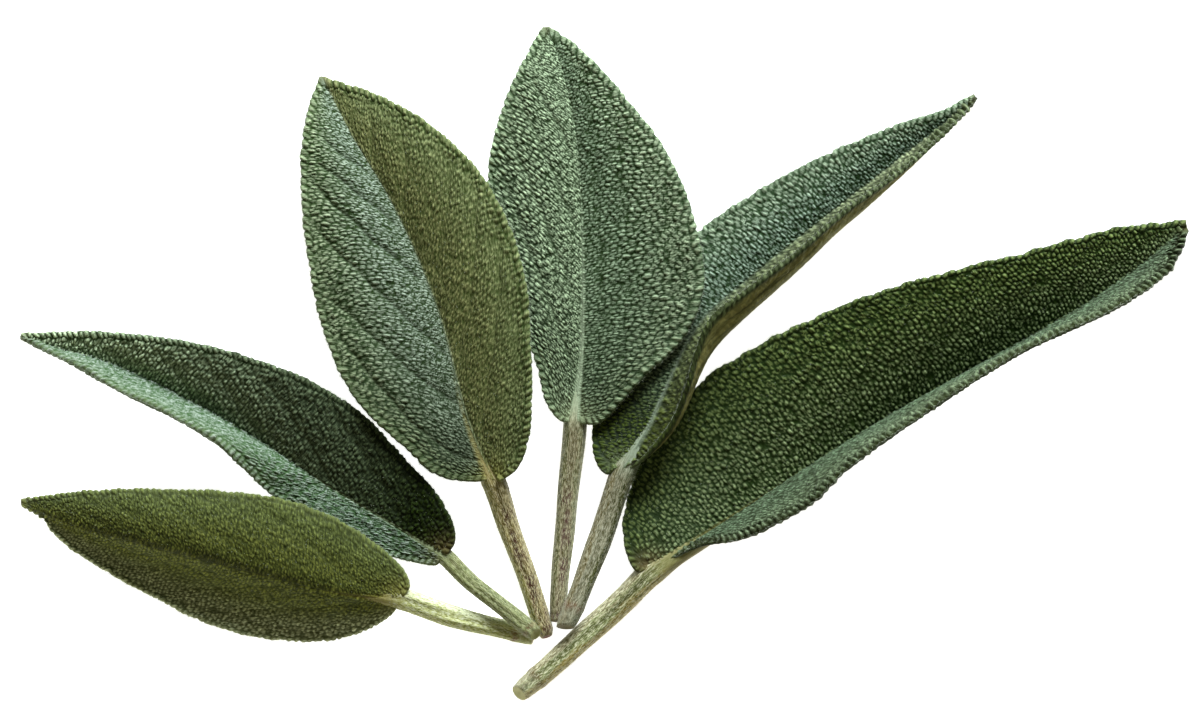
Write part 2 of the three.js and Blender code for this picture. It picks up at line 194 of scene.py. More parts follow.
# A rib and the edges run from the blade's base to its tip, as x, y and height.
# Of a leaf: step is the mesh's, along the midrib and across it; fold is how broadly the crease
# along the midrib is rounded; an arched one's midrib turns with the blade.
# Of a half: veins are each side vein's start, lean and bend, and pleat the depth of the pleats
# between them; belly is how far it bulges, most at the peak's share of its length; pads are a
# pad's length and breadth, rows how far their rows lean at the midrib and 10 mm out, rise their
# height, and taper how much the zones count; gap and notch are the furrows' breadth everywhere
# and at the edge; fringe is the breadth of the belt of edge pads, pitch their distance and
# edgeRise their height; ragged is how uneven the edge is; hairs is the tufts' angle to the
# midrib, felt how much of the furrows they fill, and shade how strongly painted shade darkens
# the half near the base, further on and near the tip; inner and outer are the crests' colours
# near the midrib and edge.
# Of a blade: thin is the colour that painted shade multiplies the blade's colours by;
# midribWidth is for the base, a sixth of the way and the tip, and midribReach is where it fades.
# Of a stalk, from its cut end: radii are at shares of its length, and ring is where a ring goes
# round it; slant and bevel are how far the cut leans sideways and upwards; bands are its colours
# from left to right, partly its own tints and partly painted light and shade on its flanks;
# stained is how strong the stain is, and stainBand its middle and half its width across, in
# radii, and the shares at which it starts and ends.
# Each half's colours are partly the leaf's own tint and partly painted light and shade, each
# half's set made paler or darker, bluer or more olive, for the light that falls on that half.
leaves = [dict(
    name="leaf_1", seed=11, step=[0.165, 0.18], fold=1.6, midribShift=0.1, arched=True,
    rib=[[-24.1, -28.3, 5], [-32.7, -27.1, 6.2], [-42.2, -24.7, 6.4], [-54.2, -21.7, 5.2],
        [-62.7, -19.4, 2.9], [-69.9, -16.7, 0.4]],
    left=dict(edge=[[-24.4, -28.9, 4.7], [-25.4, -30.1, 3.6], [-30.4, -32.7, 1.6],
        [-37.6, -33.3, 0.7], [-46, -31.8, 0.6], [-54.4, -27.9, 0.6], [-62.9, -23.0, 0.6],
        [-66.3, -20.1, 0.6], [-67.3, -18.5, 0.5], [-69.8, -17.2, 0.4]],
        veins=[[3.2, 2.3, 0.04], [13, 2.3, 0.05], [22.5, 2.5, 0.06], [32, 2.5, 0.06]],
        belly=[0, 0, -1.7], pleat=0.14, pads=[0.7, 0.5], rows=[0.5, 0.1], rise=0.24, taper=0.5,
        gap=0.04, fringe=0.95, pitch=0.74, ragged=0.8, hairs=18, felt=0.2, shade=[0.1, 0.0, 0.0],
        furrow="#353f0d", inner="#9ba445", outer="#f4ffca", rim="#b6c48c"),
    right=dict(edge=[[-23.6, -27.6, 5.1], [-23.1, -26.6, 5.2], [-24.1, -24.4, 5.2],
        [-27.9, -21.1, 5.2], [-33.9, -17.7, 5.2], [-41, -15.8, 5.2], [-54.2, -15.1, 4.2],
        [-61.5, -15.3, 2.8], [-67, -15.9, 1.2], [-69.9, -16.3, 0.4]],
        veins=[[3, 1.7, 0.06], [16, 2.2, 0.08], [27, 2.2, 0.06], [36, 2.2, 0.05]],
        belly=[0, 0, 0.6], pads=[0.6, 0.45], rows=[0.6, 0.1], rise=0.2, taper=0.4, fringe=0.9,
        pitch=0.7, edgeRise=0.22, ragged=0.7, hairs=84, felt=0.24, furrow="#1f2805",
        inner="#747a34", outer="#768344", rim="#76824e"),
    blade=dict(slot="blade_dark", under="#7c8468", base="#8a8542", thin="#50561a", gloss=0.17,
        midrib="#7f7534", midribReach=0.25, midribWidth=[0.6, 0.3, 0.12]),
    stalk=dict(slot="stalk_green",
        path=[[-8.4, -32.8, 1.15], [-14.8, -31.2, 1.6], [-19.6, -29.9, 2.6]],
        radii=[[0, 0.98], [0.05, 1.1], [0.2, 1.14], [0.6, 1.3], [1, 1.36]], ring=0.13, slant=0.0,
        bevel=0.2, bands=["#b9c168", "#cdd48c", "#d6deae"], down="#dce0c2", cut="#b5a887",
        stain="#7d5a33", stained=0.1, stainBand=[0.0, 0.5, 0.0, 0.3]),
), dict(
    name="leaf_2", seed=22, step=[0.155, 0.183], fold=0.5, midribShift=0.0, arched=False,
    rib=[[-19, -23.1, 4], [-25, -19.4, 3.3], [-31.9, -15.3, 2.8], [-46.7, -6.1, 2.3],
        [-57.7, -0.6, 1.8], [-65, 1.6, 1.3], [-70, 3.2, 0.4]],
    left=dict(edge=[[-19.4, -23.6, 3.9], [-20, -24.2, 3.8], [-23.2, -23.7, 3.4],
        [-29.1, -22.1, 3.1], [-35.1, -18.8, 3.1], [-40.4, -15.2, 3.6], [-43.4, -12.3, 5.4],
        [-46.5, -9.4, 7.2], [-51.6, -6.3, 7.4], [-57.5, -3.5, 6.2], [-64.9, 0.5, 3.2],
        [-69.9, 2.8, 0.4]],
        veins=[[6, 1.5, 0.03], [16, 1.5, 0.03], [27, 1.6, 0.03], [37, 1.6, 0.03]], pleat=0.08,
        pads=[1.15, 0.5], rows=[2.3, 1.5], rise=0.28, taper=0.4, gap=0.04, fringe=1.0, pitch=0.78,
        edgeRise=0.26, hairs=12, furrow="#3d5a34", inner="#a0aea0", outer="#9cab98",
        rim="#66724c"),
    right=dict(edge=[[-18.5, -22.7, 4], [-17.7, -21.3, 4.3], [-18.1, -18.9, 4.4],
        [-20.3, -15.1, 4.2], [-23.1, -12.2, 4], [-28.5, -6.4, 4.2], [-35.5, -1.9, 5.2],
        [-46.5, 1.9, 5.2], [-53.9, 3.2, 4.4], [-61.2, 3.8, 2.8], [-69.8, 3.6, 0.4]],
        veins=[[5, 1.5, 0.05], [15, 1.7, 0.05], [25.4, 1.7, 0.06], [34, 1.7, 0.05],
        [43, 1.8, 0.05]], belly=[0, 0, 0.4], pleat=0.14, pads=[0.7, 0.56], rows=[-0.1, -0.3],
        rise=0.34, taper=0.3, fringe=0.9, pitch=0.72, edgeRise=0.2, hairs=100, felt=0.3,
        shade=[1.0, 0.75, 0.0], furrow="#1e3708", inner="#e4fccc", outer="#e4fccc", rim="#1f2a12"),
    blade=dict(slot="blade_dark", under="#7d8a74", base="#6b5f3a", thin="#303c0c", gloss=0.09,
        midrib="#76845f", midribReach=1.2, midribWidth=[0.5, 0.25, 0.15]),
    stalk=dict(slot="stalk_green",
        path=[[-8.1, -32.4, 3.5], [-12.9, -28.6, 3.3], [-16, -26.1, 3.2]],
        radii=[[0, 0.8], [0.06, 0.98], [0.5, 1.02], [1, 1.05]], ring=0.05, slant=0.0, bevel=0.6,
        bands=["#757d42", "#8e9761", "#737c4d"], down="#b0b588", cut="#a9aa6c", stain="#6f5a3a",
        stained=0.3, stainBand=[0.3, 0.6, 0.85, 1.2]),
), dict(
    name="leaf_3", seed=33, step=[0.14, 0.182], fold=0.6, midribShift=0.4, arched=False,
    rib=[[-13.2, -14.1, 4.2], [-16, -7.4, 3.7], [-19.9, 6.7, 2.9], [-25.2, 18.9, 2.4],
        [-30.4, 27.6, 1.8], [-33.8, 34.4, 0.4]],
    left=dict(edge=[[-13.9, -14.1, 4.2], [-16, -14.2, 4.4], [-19.9, -13.4, 5.3],
        [-24.2, -9.7, 5.8], [-29.6, -4.4, 5.7], [-33.3, 3.3, 5.2], [-35.6, 14.5, 4.8],
        [-36.2, 23.1, 4], [-35.7, 29.1, 2.8], [-34.1, 34.3, 0.4]],
        veins=[[2.5, 0.5, 0.08], [9.6, 0.75, 0.06], [15.2, 1.3, 0.08], [24.6, 1.45, 0.1],
        [31.6, 1.65, 0.13], [38.5, 1.9, 0.15]], belly=[0, 0, 0.8], pleat=0.28, pads=[0.88, 0.52],
        rows=[1.2, 0.0], rise=0.26, fringe=1.1, pitch=0.92, hairs=65, shade=[0.7, 0.25, 0.0],
        furrow="#203709", inner="#b8cab4", outer="#acbc95", rim="#52683a"),
    right=dict(edge=[[-12.3, -14.2, 4.3], [-10.2, -12.5, 5.2], [-8.8, -8.2, 5.9], [-8.7, 2.6, 6.2],
        [-9.6, 11.3, 6.2], [-13.2, 20.4, 5.4], [-18.6, 26.8, 4.2], [-25.9, 31.6, 2.6],
        [-33.3, 34.2, 0.4]],
        veins=[[3.4, 2.1, 0.03], [14.5, 1.6, 0.03], [24.8, 1.0, 0.05], [33, 1.4, 0.05],
        [40, 1.6, 0.05]], belly=[0, 0, 0.8], pleat=0.2, pads=[0.7, 0.52], rows=[0.9, 0.2],
        rise=0.22, taper=0.6, fringe=1.05, pitch=0.85, edgeRise=0.36, hairs=24, felt=0.4,
        shade=[0.2, 0.0, 0.0], furrow="#263705", inner="#959762", outer="#97a16d", rim="#5e7040"),
    blade=dict(slot="blade_grey_green", under="#87907a", base="#83803a", thin="#5c6426",
        gloss=0.17, midrib="#7c7440", midribReach=0.3, midribWidth=[1.1, 0.5, 0.15]),
    stalk=dict(slot="stalk_tan", path=[[-6.8, -32.8, 1.1], [-8.9, -26.4, 1.4], [-11.4, -19.4, 2]],
        radii=[[0, 0.68], [0.04, 1.0], [0.15, 1.14], [0.4, 1.2], [0.6, 1.27], [0.85, 1.38],
        [1, 1.5]], ring=0.03, slant=0.0, bevel=0.3, bands=["#8f8b45", "#8d7f4e", "#9c9168"],
        down="#d0c89d", cut="#6e4022", stain="#472a20", stained=1.0,
        stainBand=[0.2, 0.75, 0.0, 0.86]),
), dict(
    name="leaf_4", seed=44, step=[0.144, 0.172], fold=0.7, midribShift=0.0, arched=False,
    rib=[[-3.4, -6.9, 4.6], [-2.6, 1.1, 3.7], [-2.5, 14.7, 2.6], [-3.4, 28.5, 2],
        [-5.2, 36.1, 1.3], [-6.9, 40.3, 0.4]],
    left=dict(edge=[[-3.9, -7.2, 4.5], [-5.2, -6.9, 4.4], [-6.8, -4.9, 4.2], [-8.4, 1.1, 3.9],
        [-11.8, 6.3, 3.7], [-13.7, 13.5, 3.5], [-13.9, 20.7, 3.5], [-13.1, 27.2, 3.4],
        [-10.4, 34.7, 2.4], [-7.3, 40.3, 0.4]],
        veins=[[3.8, 2.3, 0.05], [12.4, 2.3, 0.06], [21.2, 2.3, 0.09], [30, 2.4, 0.1],
        [37, 2.4, 0.1]], belly=[0, 0, 0.6], pleat=0.2, pads=[0.86, 0.57], rows=[1.4, 0.5],
        rise=0.29, fringe=1.05, pitch=0.9, hairs=50, shade=[0.4, 0.15, 0.0], furrow="#182c07",
        inner="#c9e2b6", outer="#c2d9ae", rim="#46603a"),
    right=dict(edge=[[-2.8, -7.3, 4.6], [-0.5, -7.2, 5.2], [4.1, -2.4, 6.4], [9.6, 3.1, 6.5],
        [11.9, 8.7, 6.5], [11.2, 15.8, 6.4], [8.0, 24.4, 5.8], [3.2, 31.1, 4.4], [-2.8, 37.7, 2.2],
        [-6.5, 40.3, 0.4]],
        veins=[[3, 0.9, 0.02], [9.5, 1.1, 0.02], [17, 1.2, 0.02], [26.5, 1.2, 0.02],
        [35, 1.3, 0.03]], belly=[0, 0, 0.6], pleat=0.12, pads=[0.9, 0.53], rows=[0.35, -0.1],
        rise=0.29, taper=0.8, fringe=1.2, pitch=0.94, edgeRise=0.32, hairs=85,
        shade=[0.55, 0.15, 0.0], furrow="#1f350f", inner="#aac2a0", outer="#bed2ab",
        rim="#3c5634"),
    blade=dict(slot="blade_grey_green", under="#8a967f", base="#8f9a72", thin="#5c6426",
        gloss=0.17, midrib="#93a384", midribReach=0.7, midribWidth=[1.2, 0.6, 0.3]),
    stalk=dict(slot="stalk_tan", path=[[-5.6, -31, 1], [-5, -23.6, 1.5], [-4.3, -16.4, 2.2]],
        radii=[[0, 0.78], [0.08, 1.0], [0.4, 1.18], [1, 1.4]], ring=0.02, slant=0.0, bevel=0.2,
        bands=["#6e6f42", "#958e6c", "#858760"], down="#c7c4a2", cut="#6f6046", stain="#5a3c3a",
        stained=0.9, stainBand=[0.15, 0.6, 0.0, 0.7]),
), dict(
    name="leaf_5", seed=55, step=[0.147, 0.175], fold=0.5, midribShift=0.1, arched=False,
    rib=[[2.3, -12.7, 5.8], [5.4, -7.8, 5.5], [7.8, -2.5, 5.1], [11.4, 4.5, 4.5],
        [17.6, 10.3, 3.9], [26.3, 17.4, 3.2], [36.5, 25.4, 2], [44.7, 31.9, 0.4]],
    left=dict(edge=[[1.7, -12.9, 5.7], [0.3, -13.3, 5.2], [-1, -11.5, 4.5], [-1.3, -8, 3.5],
        [-0.1, -2.6, 3], [4.4, 7.5, 3], [11.3, 15.6, 3.2], [22.2, 22.7, 3.6], [33.5, 27.9, 3.2],
        [42, 30.9, 1.6], [44.4, 32.3, 0.4]],
        veins=[[5, 1.2, 0.03], [14, 1.2, 0.03], [23, 1.3, 0.03], [32, 1.3, 0.03], [41, 1.4, 0.03],
        [50, 1.4, 0.03]], belly=[0, 0, 0.6], pads=[0.8, 0.53], rows=[-0.1, -0.35], rise=0.28,
        fringe=1.1, pitch=0.86, edgeRise=0.34, ragged=0.8, hairs=105, shade=[1.0, 0.0, 0.0],
        furrow="#1b3412", inner="#a2baa3", outer="#a6ba9a", rim="#33492c"),
    right=dict(edge=[[2.9, -12.5, 5.9], [4.7, -11.1, 6.6], [7.8, -7.3, 7.8], [9.6, -3.2, 8.8],
        [12.4, 4.9, 10], [17.5, 9.2, 10.2], [22.7, 13.1, 9.8], [29, 18.5, 8.6], [35.8, 23.3, 6.2],
        [41.4, 28.2, 3], [44.9, 31.7, 0.4]],
        veins=[[8, 1.2, 0.0], [20, 1.2, 0.0], [32, 1.2, 0.0], [44, 1.2, 0.0]],
        belly=[1.75, -1.85, 0], peak=0.3, pleat=0.06, pads=[0.8, 0.6], rows=[0.0, 0.0], rise=0.16,
        taper=0.0, notch=0.16, fringe=1.0, pitch=0.8, edgeRise=0.6, ragged=0.4, hairs=20,
        felt=0.35, shade=[0.95, 0.4, 0.0], furrow="#171f06", inner="#a3b083", outer="#93a578",
        rim="#2a340f"),
    blade=dict(slot="blade_grey_green", under="#8f8c50", base="#6d7a50", thin="#7c8430",
        gloss=0.17, midrib="#82917a", midribReach=0.5, midribWidth=[0.42, 0.32, 0.15]),
    stalk=dict(slot="stalk_tan", path=[[-4.6, -31.6, 3.4], [-1.4, -23.8, 3.6], [0.5, -18.3, 3.9]],
        radii=[[0, 1.0], [0.04, 1.12], [0.15, 1.2], [0.5, 1.42], [1, 1.48]], ring=0.13, slant=0.3,
        bevel=0.35, bands=["#7d744d", "#9b9b80", "#505520"], down="#b9b89f", cut="#7d7450",
        stain="#6d4f33", stained=0.15, stainBand=[0.0, 0.5, 0.0, 0.3]),
), dict(
    name="leaf_6", seed=66, step=[0.174, 0.192], fold=0.5, midribShift=0.2, arched=False,
    rib=[[5.7, -24.9, 4], [16.9, -17.6, 3.1], [31.7, -8, 2.5], [45.5, -0.1, 2.1], [59.1, 8, 1.7],
        [70, 16.4, 0.4]],
    left=dict(edge=[[5, -25.1, 4], [3.8, -24.9, 3.9], [2.7, -22.6, 3.4], [2.3, -19.4, 2.7],
        [3.1, -15.3, 2], [4.7, -11.4, 1.9], [7.1, -8, 2.4], [11.1, -2.8, 4.2], [18.8, 2.3, 6.2],
        [31.1, 7.9, 7.6], [38.8, 10.3, 7.6], [52.1, 13.7, 6], [60.6, 16, 3.9], [69.8, 17.2, 0.4]],
        veins=[[4, 1.2, 0.03], [15, 1.2, 0.03], [26, 1.3, 0.03], [37, 1.3, 0.03], [48, 1.3, 0.03],
        [59, 1.3, 0.03]], belly=[0, 0, 0.7], pleat=0.08, pads=[0.72, 0.62], rows=[0.0, -0.25],
        rise=0.27, taper=0.25, gap=0.08, fringe=0.8, pitch=0.84, edgeRise=0.32, ragged=1.3,
        hairs=100, shade=[0.25, 0.05, 0.0], furrow="#1b3000", inner="#93a574", outer="#7f9352",
        rim="#1b2a08"),
    right=dict(edge=[[6.2, -25, 4], [8.2, -23.4, 4.2], [11.5, -21.7, 5], [16.5, -20.9, 7.6],
        [24.7, -16.7, 10.6], [29.2, -12.4, 11.2], [37.4, -6.5, 11.4], [49.7, 1.3, 9.8],
        [60.8, 6.4, 6.2], [65.5, 9.2, 4], [68.6, 12, 2], [70.2, 15.8, 0.4]],
        veins=[[6, 1.2, 0.03], [17, 1.2, 0.03], [28, 1.3, 0.03], [39, 1.3, 0.03], [50, 1.3, 0.03]],
        pads=[0.8, 0.5], rows=[0.8, 0.5], rise=0.2, taper=0.6, gap=0.06, notch=0.22, fringe=1.15,
        pitch=0.84, edgeRise=0.5, ragged=1.1, hairs=20, felt=0.2, furrow="#171f06",
        inner="#7b9572", outer="#8a9e78", rim="#353f1c"),
    blade=dict(slot="blade_dark", under="#666c44", base="#6d5a36", thin="#50561a", gloss=0.17,
        midrib="#7c7a45", midribReach=0.6, midribWidth=[0.8, 0.35, 0.15]),
    stalk=dict(slot="stalk_green",
        path=[[-10.1, -39.6, 1.45], [-6.8, -36.7, 1.5], [-3.4, -33.7, 1.6], [1, -29.7, 1.7]],
        radii=[[0, 1.05], [0.03, 1.17], [0.11, 1.24], [0.14, 1.32], [0.3, 1.46], [1, 1.56]],
        ring=0.125, slant=0.0, bevel=0.55, bands=["#a09a75", "#939c67", "#b5a65b"], down="#dcddba",
        cut="#b9b878", stain="#5c4a22", stained=0.12, stainBand=[-0.1, 0.4, 0.6, 1.2]),
)]

# what a half is where its own table is silent
plainHalf = dict(belly=[0, 0, 0], peak=0.5, pleat=0.1, taper=0.7, gap=0.0, notch=0.0, edgeRise=0.3,
                 ragged=0.6, felt=0.0, shade=[0.0, 0.0, 0.0])
for leaf in leaves:
    for side in ("left", "right"):
        leaf[side] = {**plainHalf, **leaf[side]}


def crowded(rows):
    # the rows' shares s of the midrib, closer together round the base
    u = np.linspace(0, 1, rows + 1)
    return u * (1 - bladeForm["crowding"] * (1 - u) ** 6)


def columnShares(columns):
    # t of each column: their distances shrink at the edge and the midrib, as 1 over a sum of
    # exponentials
    (edge, edgeSpan), (rib, ribSpan) = bladeForm["edgeColumns"], bladeForm["ribColumns"]
    at = (np.arange(columns) + 0.5) / columns
    gap = 1 / (1 + edge * np.exp((at - 1) / edgeSpan) + rib * np.exp(-at / ribSpan))
    return added(gap) / gap.sum()


def halfSurface(leaf, half, s, t):
    # A straight line joins the midrib at s to the edge a little further on, and the belly bends
    # it by 4t(1-t) times a power of a sine along the blade.
    rib, length = curvePoints(leaf["rib"], s)
    ahead = bladeForm["sweep"] * np.sin(np.pi * s)
    edge, _ = curvePoints(half["edge"], np.minimum(1, s + ahead))
    towardsPeak = s ** (math.log(0.5) / math.log(half["peak"]))
    swell = np.maximum(0, np.sin(np.pi * towardsPeak)) ** bladeForm["bellyPower"]
    bulge = swell[:, None, None] * (4 * t * (1 - t))[None, :, None] * np.array(half["belly"])
    return rib[:, None] + (edge - rib)[:, None] * t[None, :, None] + bulge, rib, edge, length


def flatten(rib, edge, length, s, t):
    # The half unrolled into a plane: x along the midrib and y out from it, both in millimetres.
    ahead = unit(np.gradient(rib, axis=0))
    across = edge - rib
    along = (across * ahead).sum(-1)
    out = np.sqrt(np.maximum((across ** 2).sum(-1) - along ** 2, 1e-6))
    return (s * length)[:, None] + along[:, None] * t[None], out[:, None] * t[None]


def edgeDistance(x, y, outline):
    # Distance from the outline, positive inside, and how far along the outline that is. The
    # nearest of the outline's samples is found first, then its tangent gives the rest.
    outlineX, outlineY, run = outline
    best = np.full(x.shape, 1e9, np.float32)
    nearest = np.zeros(x.shape, np.int32)
    for k in range(0, len(outlineX), 2):
        gap = (x - outlineX[k]) ** 2 + (y - outlineY[k]) ** 2
        closer = gap < best
        best[closer] = gap[closer]
        nearest[closer] = k
    tangentX, tangentY = unit(np.stack([np.gradient(outlineX), np.gradient(outlineY)], -1)).T
    offX, offY = x - outlineX[nearest], y - outlineY[nearest]
    tx, ty = tangentX[nearest], tangentY[nearest]
    return offX * ty - offY * tx, run[nearest] + offX * tx + offY * ty


def waver(u, y):
    # rows of pads waver as a sine along the row, which differs from row to row
    return bladeForm["waver"] * np.sin(y * 1.1 + 2 * np.sin(u / 5))


def padSites(half, length, outline, random):
    # A row of pads is the parabola x = q + a y + b y^2, with the half's two slopes at the midrib
    # and 10 mm out from it. u counts rows by their q, which are closer near the tip and waver,
    # and v counts the pads along a row. Every pad strays from its place. The pads come in zones,
    # smaller towards the midrib, from one share of the half's breadth to another.
    form = bladeForm
    strayU, strayV, strayEdge = form["stray"]
    a, b = half["rows"][0], (half["rows"][1] - half["rows"][0]) / 20
    q = np.linspace(-35, length + 15, 1000)    # leaning rows start before the base
    y = np.linspace(0, 30, 400)
    belt = (form["edgeInset"] + form["edgeReach"]) * half["fringe"] + 0.2
    broad, around = outline[1].max(), outline[2][-1]
    zones = []
    for scale, nearest, farthest in form["padZones"]:
        scale = 1 + half["taper"] * (scale - 1)
        long, thick = scale * half["pads"][0], scale * half["pads"][1]
        gap = thick * (1 - form["tipPads"] * ease(0.5, 1, q / length))
        u = added(np.diff(q) / gap[1:])
        v = added(np.diff(y) * np.hypot(1, a + 2 * b * y[1:]) / long)
        count = (int(u[-1]), int(v[-1]))
        siteU = np.arange(count[0])[:, None] + strayU * random.uniform(-1, 1, count)
        siteV = np.arange(count[1]) + strayV * random.uniform(-1, 1, count)
        siteV += 0.5 * (np.arange(count[0]) % 2)[:, None]    # like bricks
        siteY = np.interp(siteV, v, y)
        siteX = np.interp(siteU - waver(siteU, siteY), u, q) + a * siteY + b * siteY ** 2
        inside, _ = edgeDistance(np.clip(siteX, -2, length + 2), np.clip(siteY, 0, broad + 1),
                                 outline)
        share = siteY / broad + form["zoneBlur"] * random.uniform(-1, 1, count)
        kept = (inside > belt) & (siteX > 0.2) & (siteX < length) & (siteY > 0.1)
        kept &= (share >= nearest - form["zoneBlur"]) & (share < farthest) & (siteY < broad)
        weight = 1 + form["padSizes"] * random.uniform(-1, 1, count)
        zones.append({"scale": scale, "u": u, "v": v, "siteU": np.where(kept, siteU, 1e3),
                      "siteV": siteV, "weight": weight})
    pads = int(around / half["pitch"])
    at = (np.arange(pads) + 0.5 + strayEdge * random.uniform(-1, 1, pads)) * around / pads
    push = 1 + form["pushes"] * random.uniform(-1, 1, pads)
    return {"rows": (a, b), "q": q, "y": y, "zones": zones, "at": at, "push": push}


def padField(half, x, y, inside, along, sites):
    # With the nearest two pad middles at distances near and after, in pads, the dome is
    # (after - near) over (after + near): 1 on a pad's middle and 0 in the furrow. It rises faster
    # at a pad's two ends, so that the furrows there are as narrow as beside it. An edge pad is
    # fringe times as long inwards as it is wide.
    form, at, fringe, pitch = bladeForm, sites["at"], half["fringe"], half["pitch"]
    a, b = sites["rows"]
    near = np.full(x.shape, 50.0)
    after = np.full(x.shape, 51.0)
    end = np.zeros(x.shape)
    scale = np.ones(x.shape)
    pad = np.zeros(x.shape, np.int32)

    def visit(beside, beyond, weight, name, size, squareness):
        gap = np.hypot(beside, beyond) * weight
        after[:] = np.where(pad == name, after, np.minimum(after, np.maximum(near, gap)))
        closer = gap < near
        pad[closer] = name[closer]
        endwise = squareness * np.abs(beyond) / (np.abs(beside) + np.abs(beyond) + 1e-6)
        end[closer] = endwise[closer]
        scale[closer] = size
        near[closer] = gap[closer]

    for number, zone in enumerate(sites["zones"]):
        siteU, siteV = zone["siteU"], zone["siteV"]
        u = np.interp(x - a * y - b * y ** 2, sites["q"], zone["u"])
        u = u + waver(u, y)
        v = np.interp(y, sites["y"], zone["v"])
        for place in range(9):    # the nine pads round about
            i = np.clip(np.rint(u).astype(int) + place // 3 - 1, 0, siteU.shape[0] - 1)
            j = np.rint(v - 0.5 * (i % 2)).astype(int) + place % 3 - 1
            j = np.clip(j, 0, siteU.shape[1] - 1)
            visit(u - siteU[i, j], v - siteV[i, j], zone["weight"][i, j],
                  (number * 1000 + i) * 1000 + j, zone["scale"], 1)
    inwards = (inside - form["edgeInset"] * fringe) / fringe / pitch
    leaning = along + form["edgeLean"] * np.minimum(inside, 2)
    for dk in range(-2, 3):
        k = np.clip(np.searchsorted(at, leaning) + dk, 0, len(at) - 1)
        visit((leaning - at[k]) / pitch, inwards, 1, -1 - k, 1, 0.6)
    dome = (after - near) / (after + near) * (1 + form["padEnds"] * end ** 2)
    return np.minimum(dome, 1), np.clip(near + after, 0.5, 1.2) * scale, pad


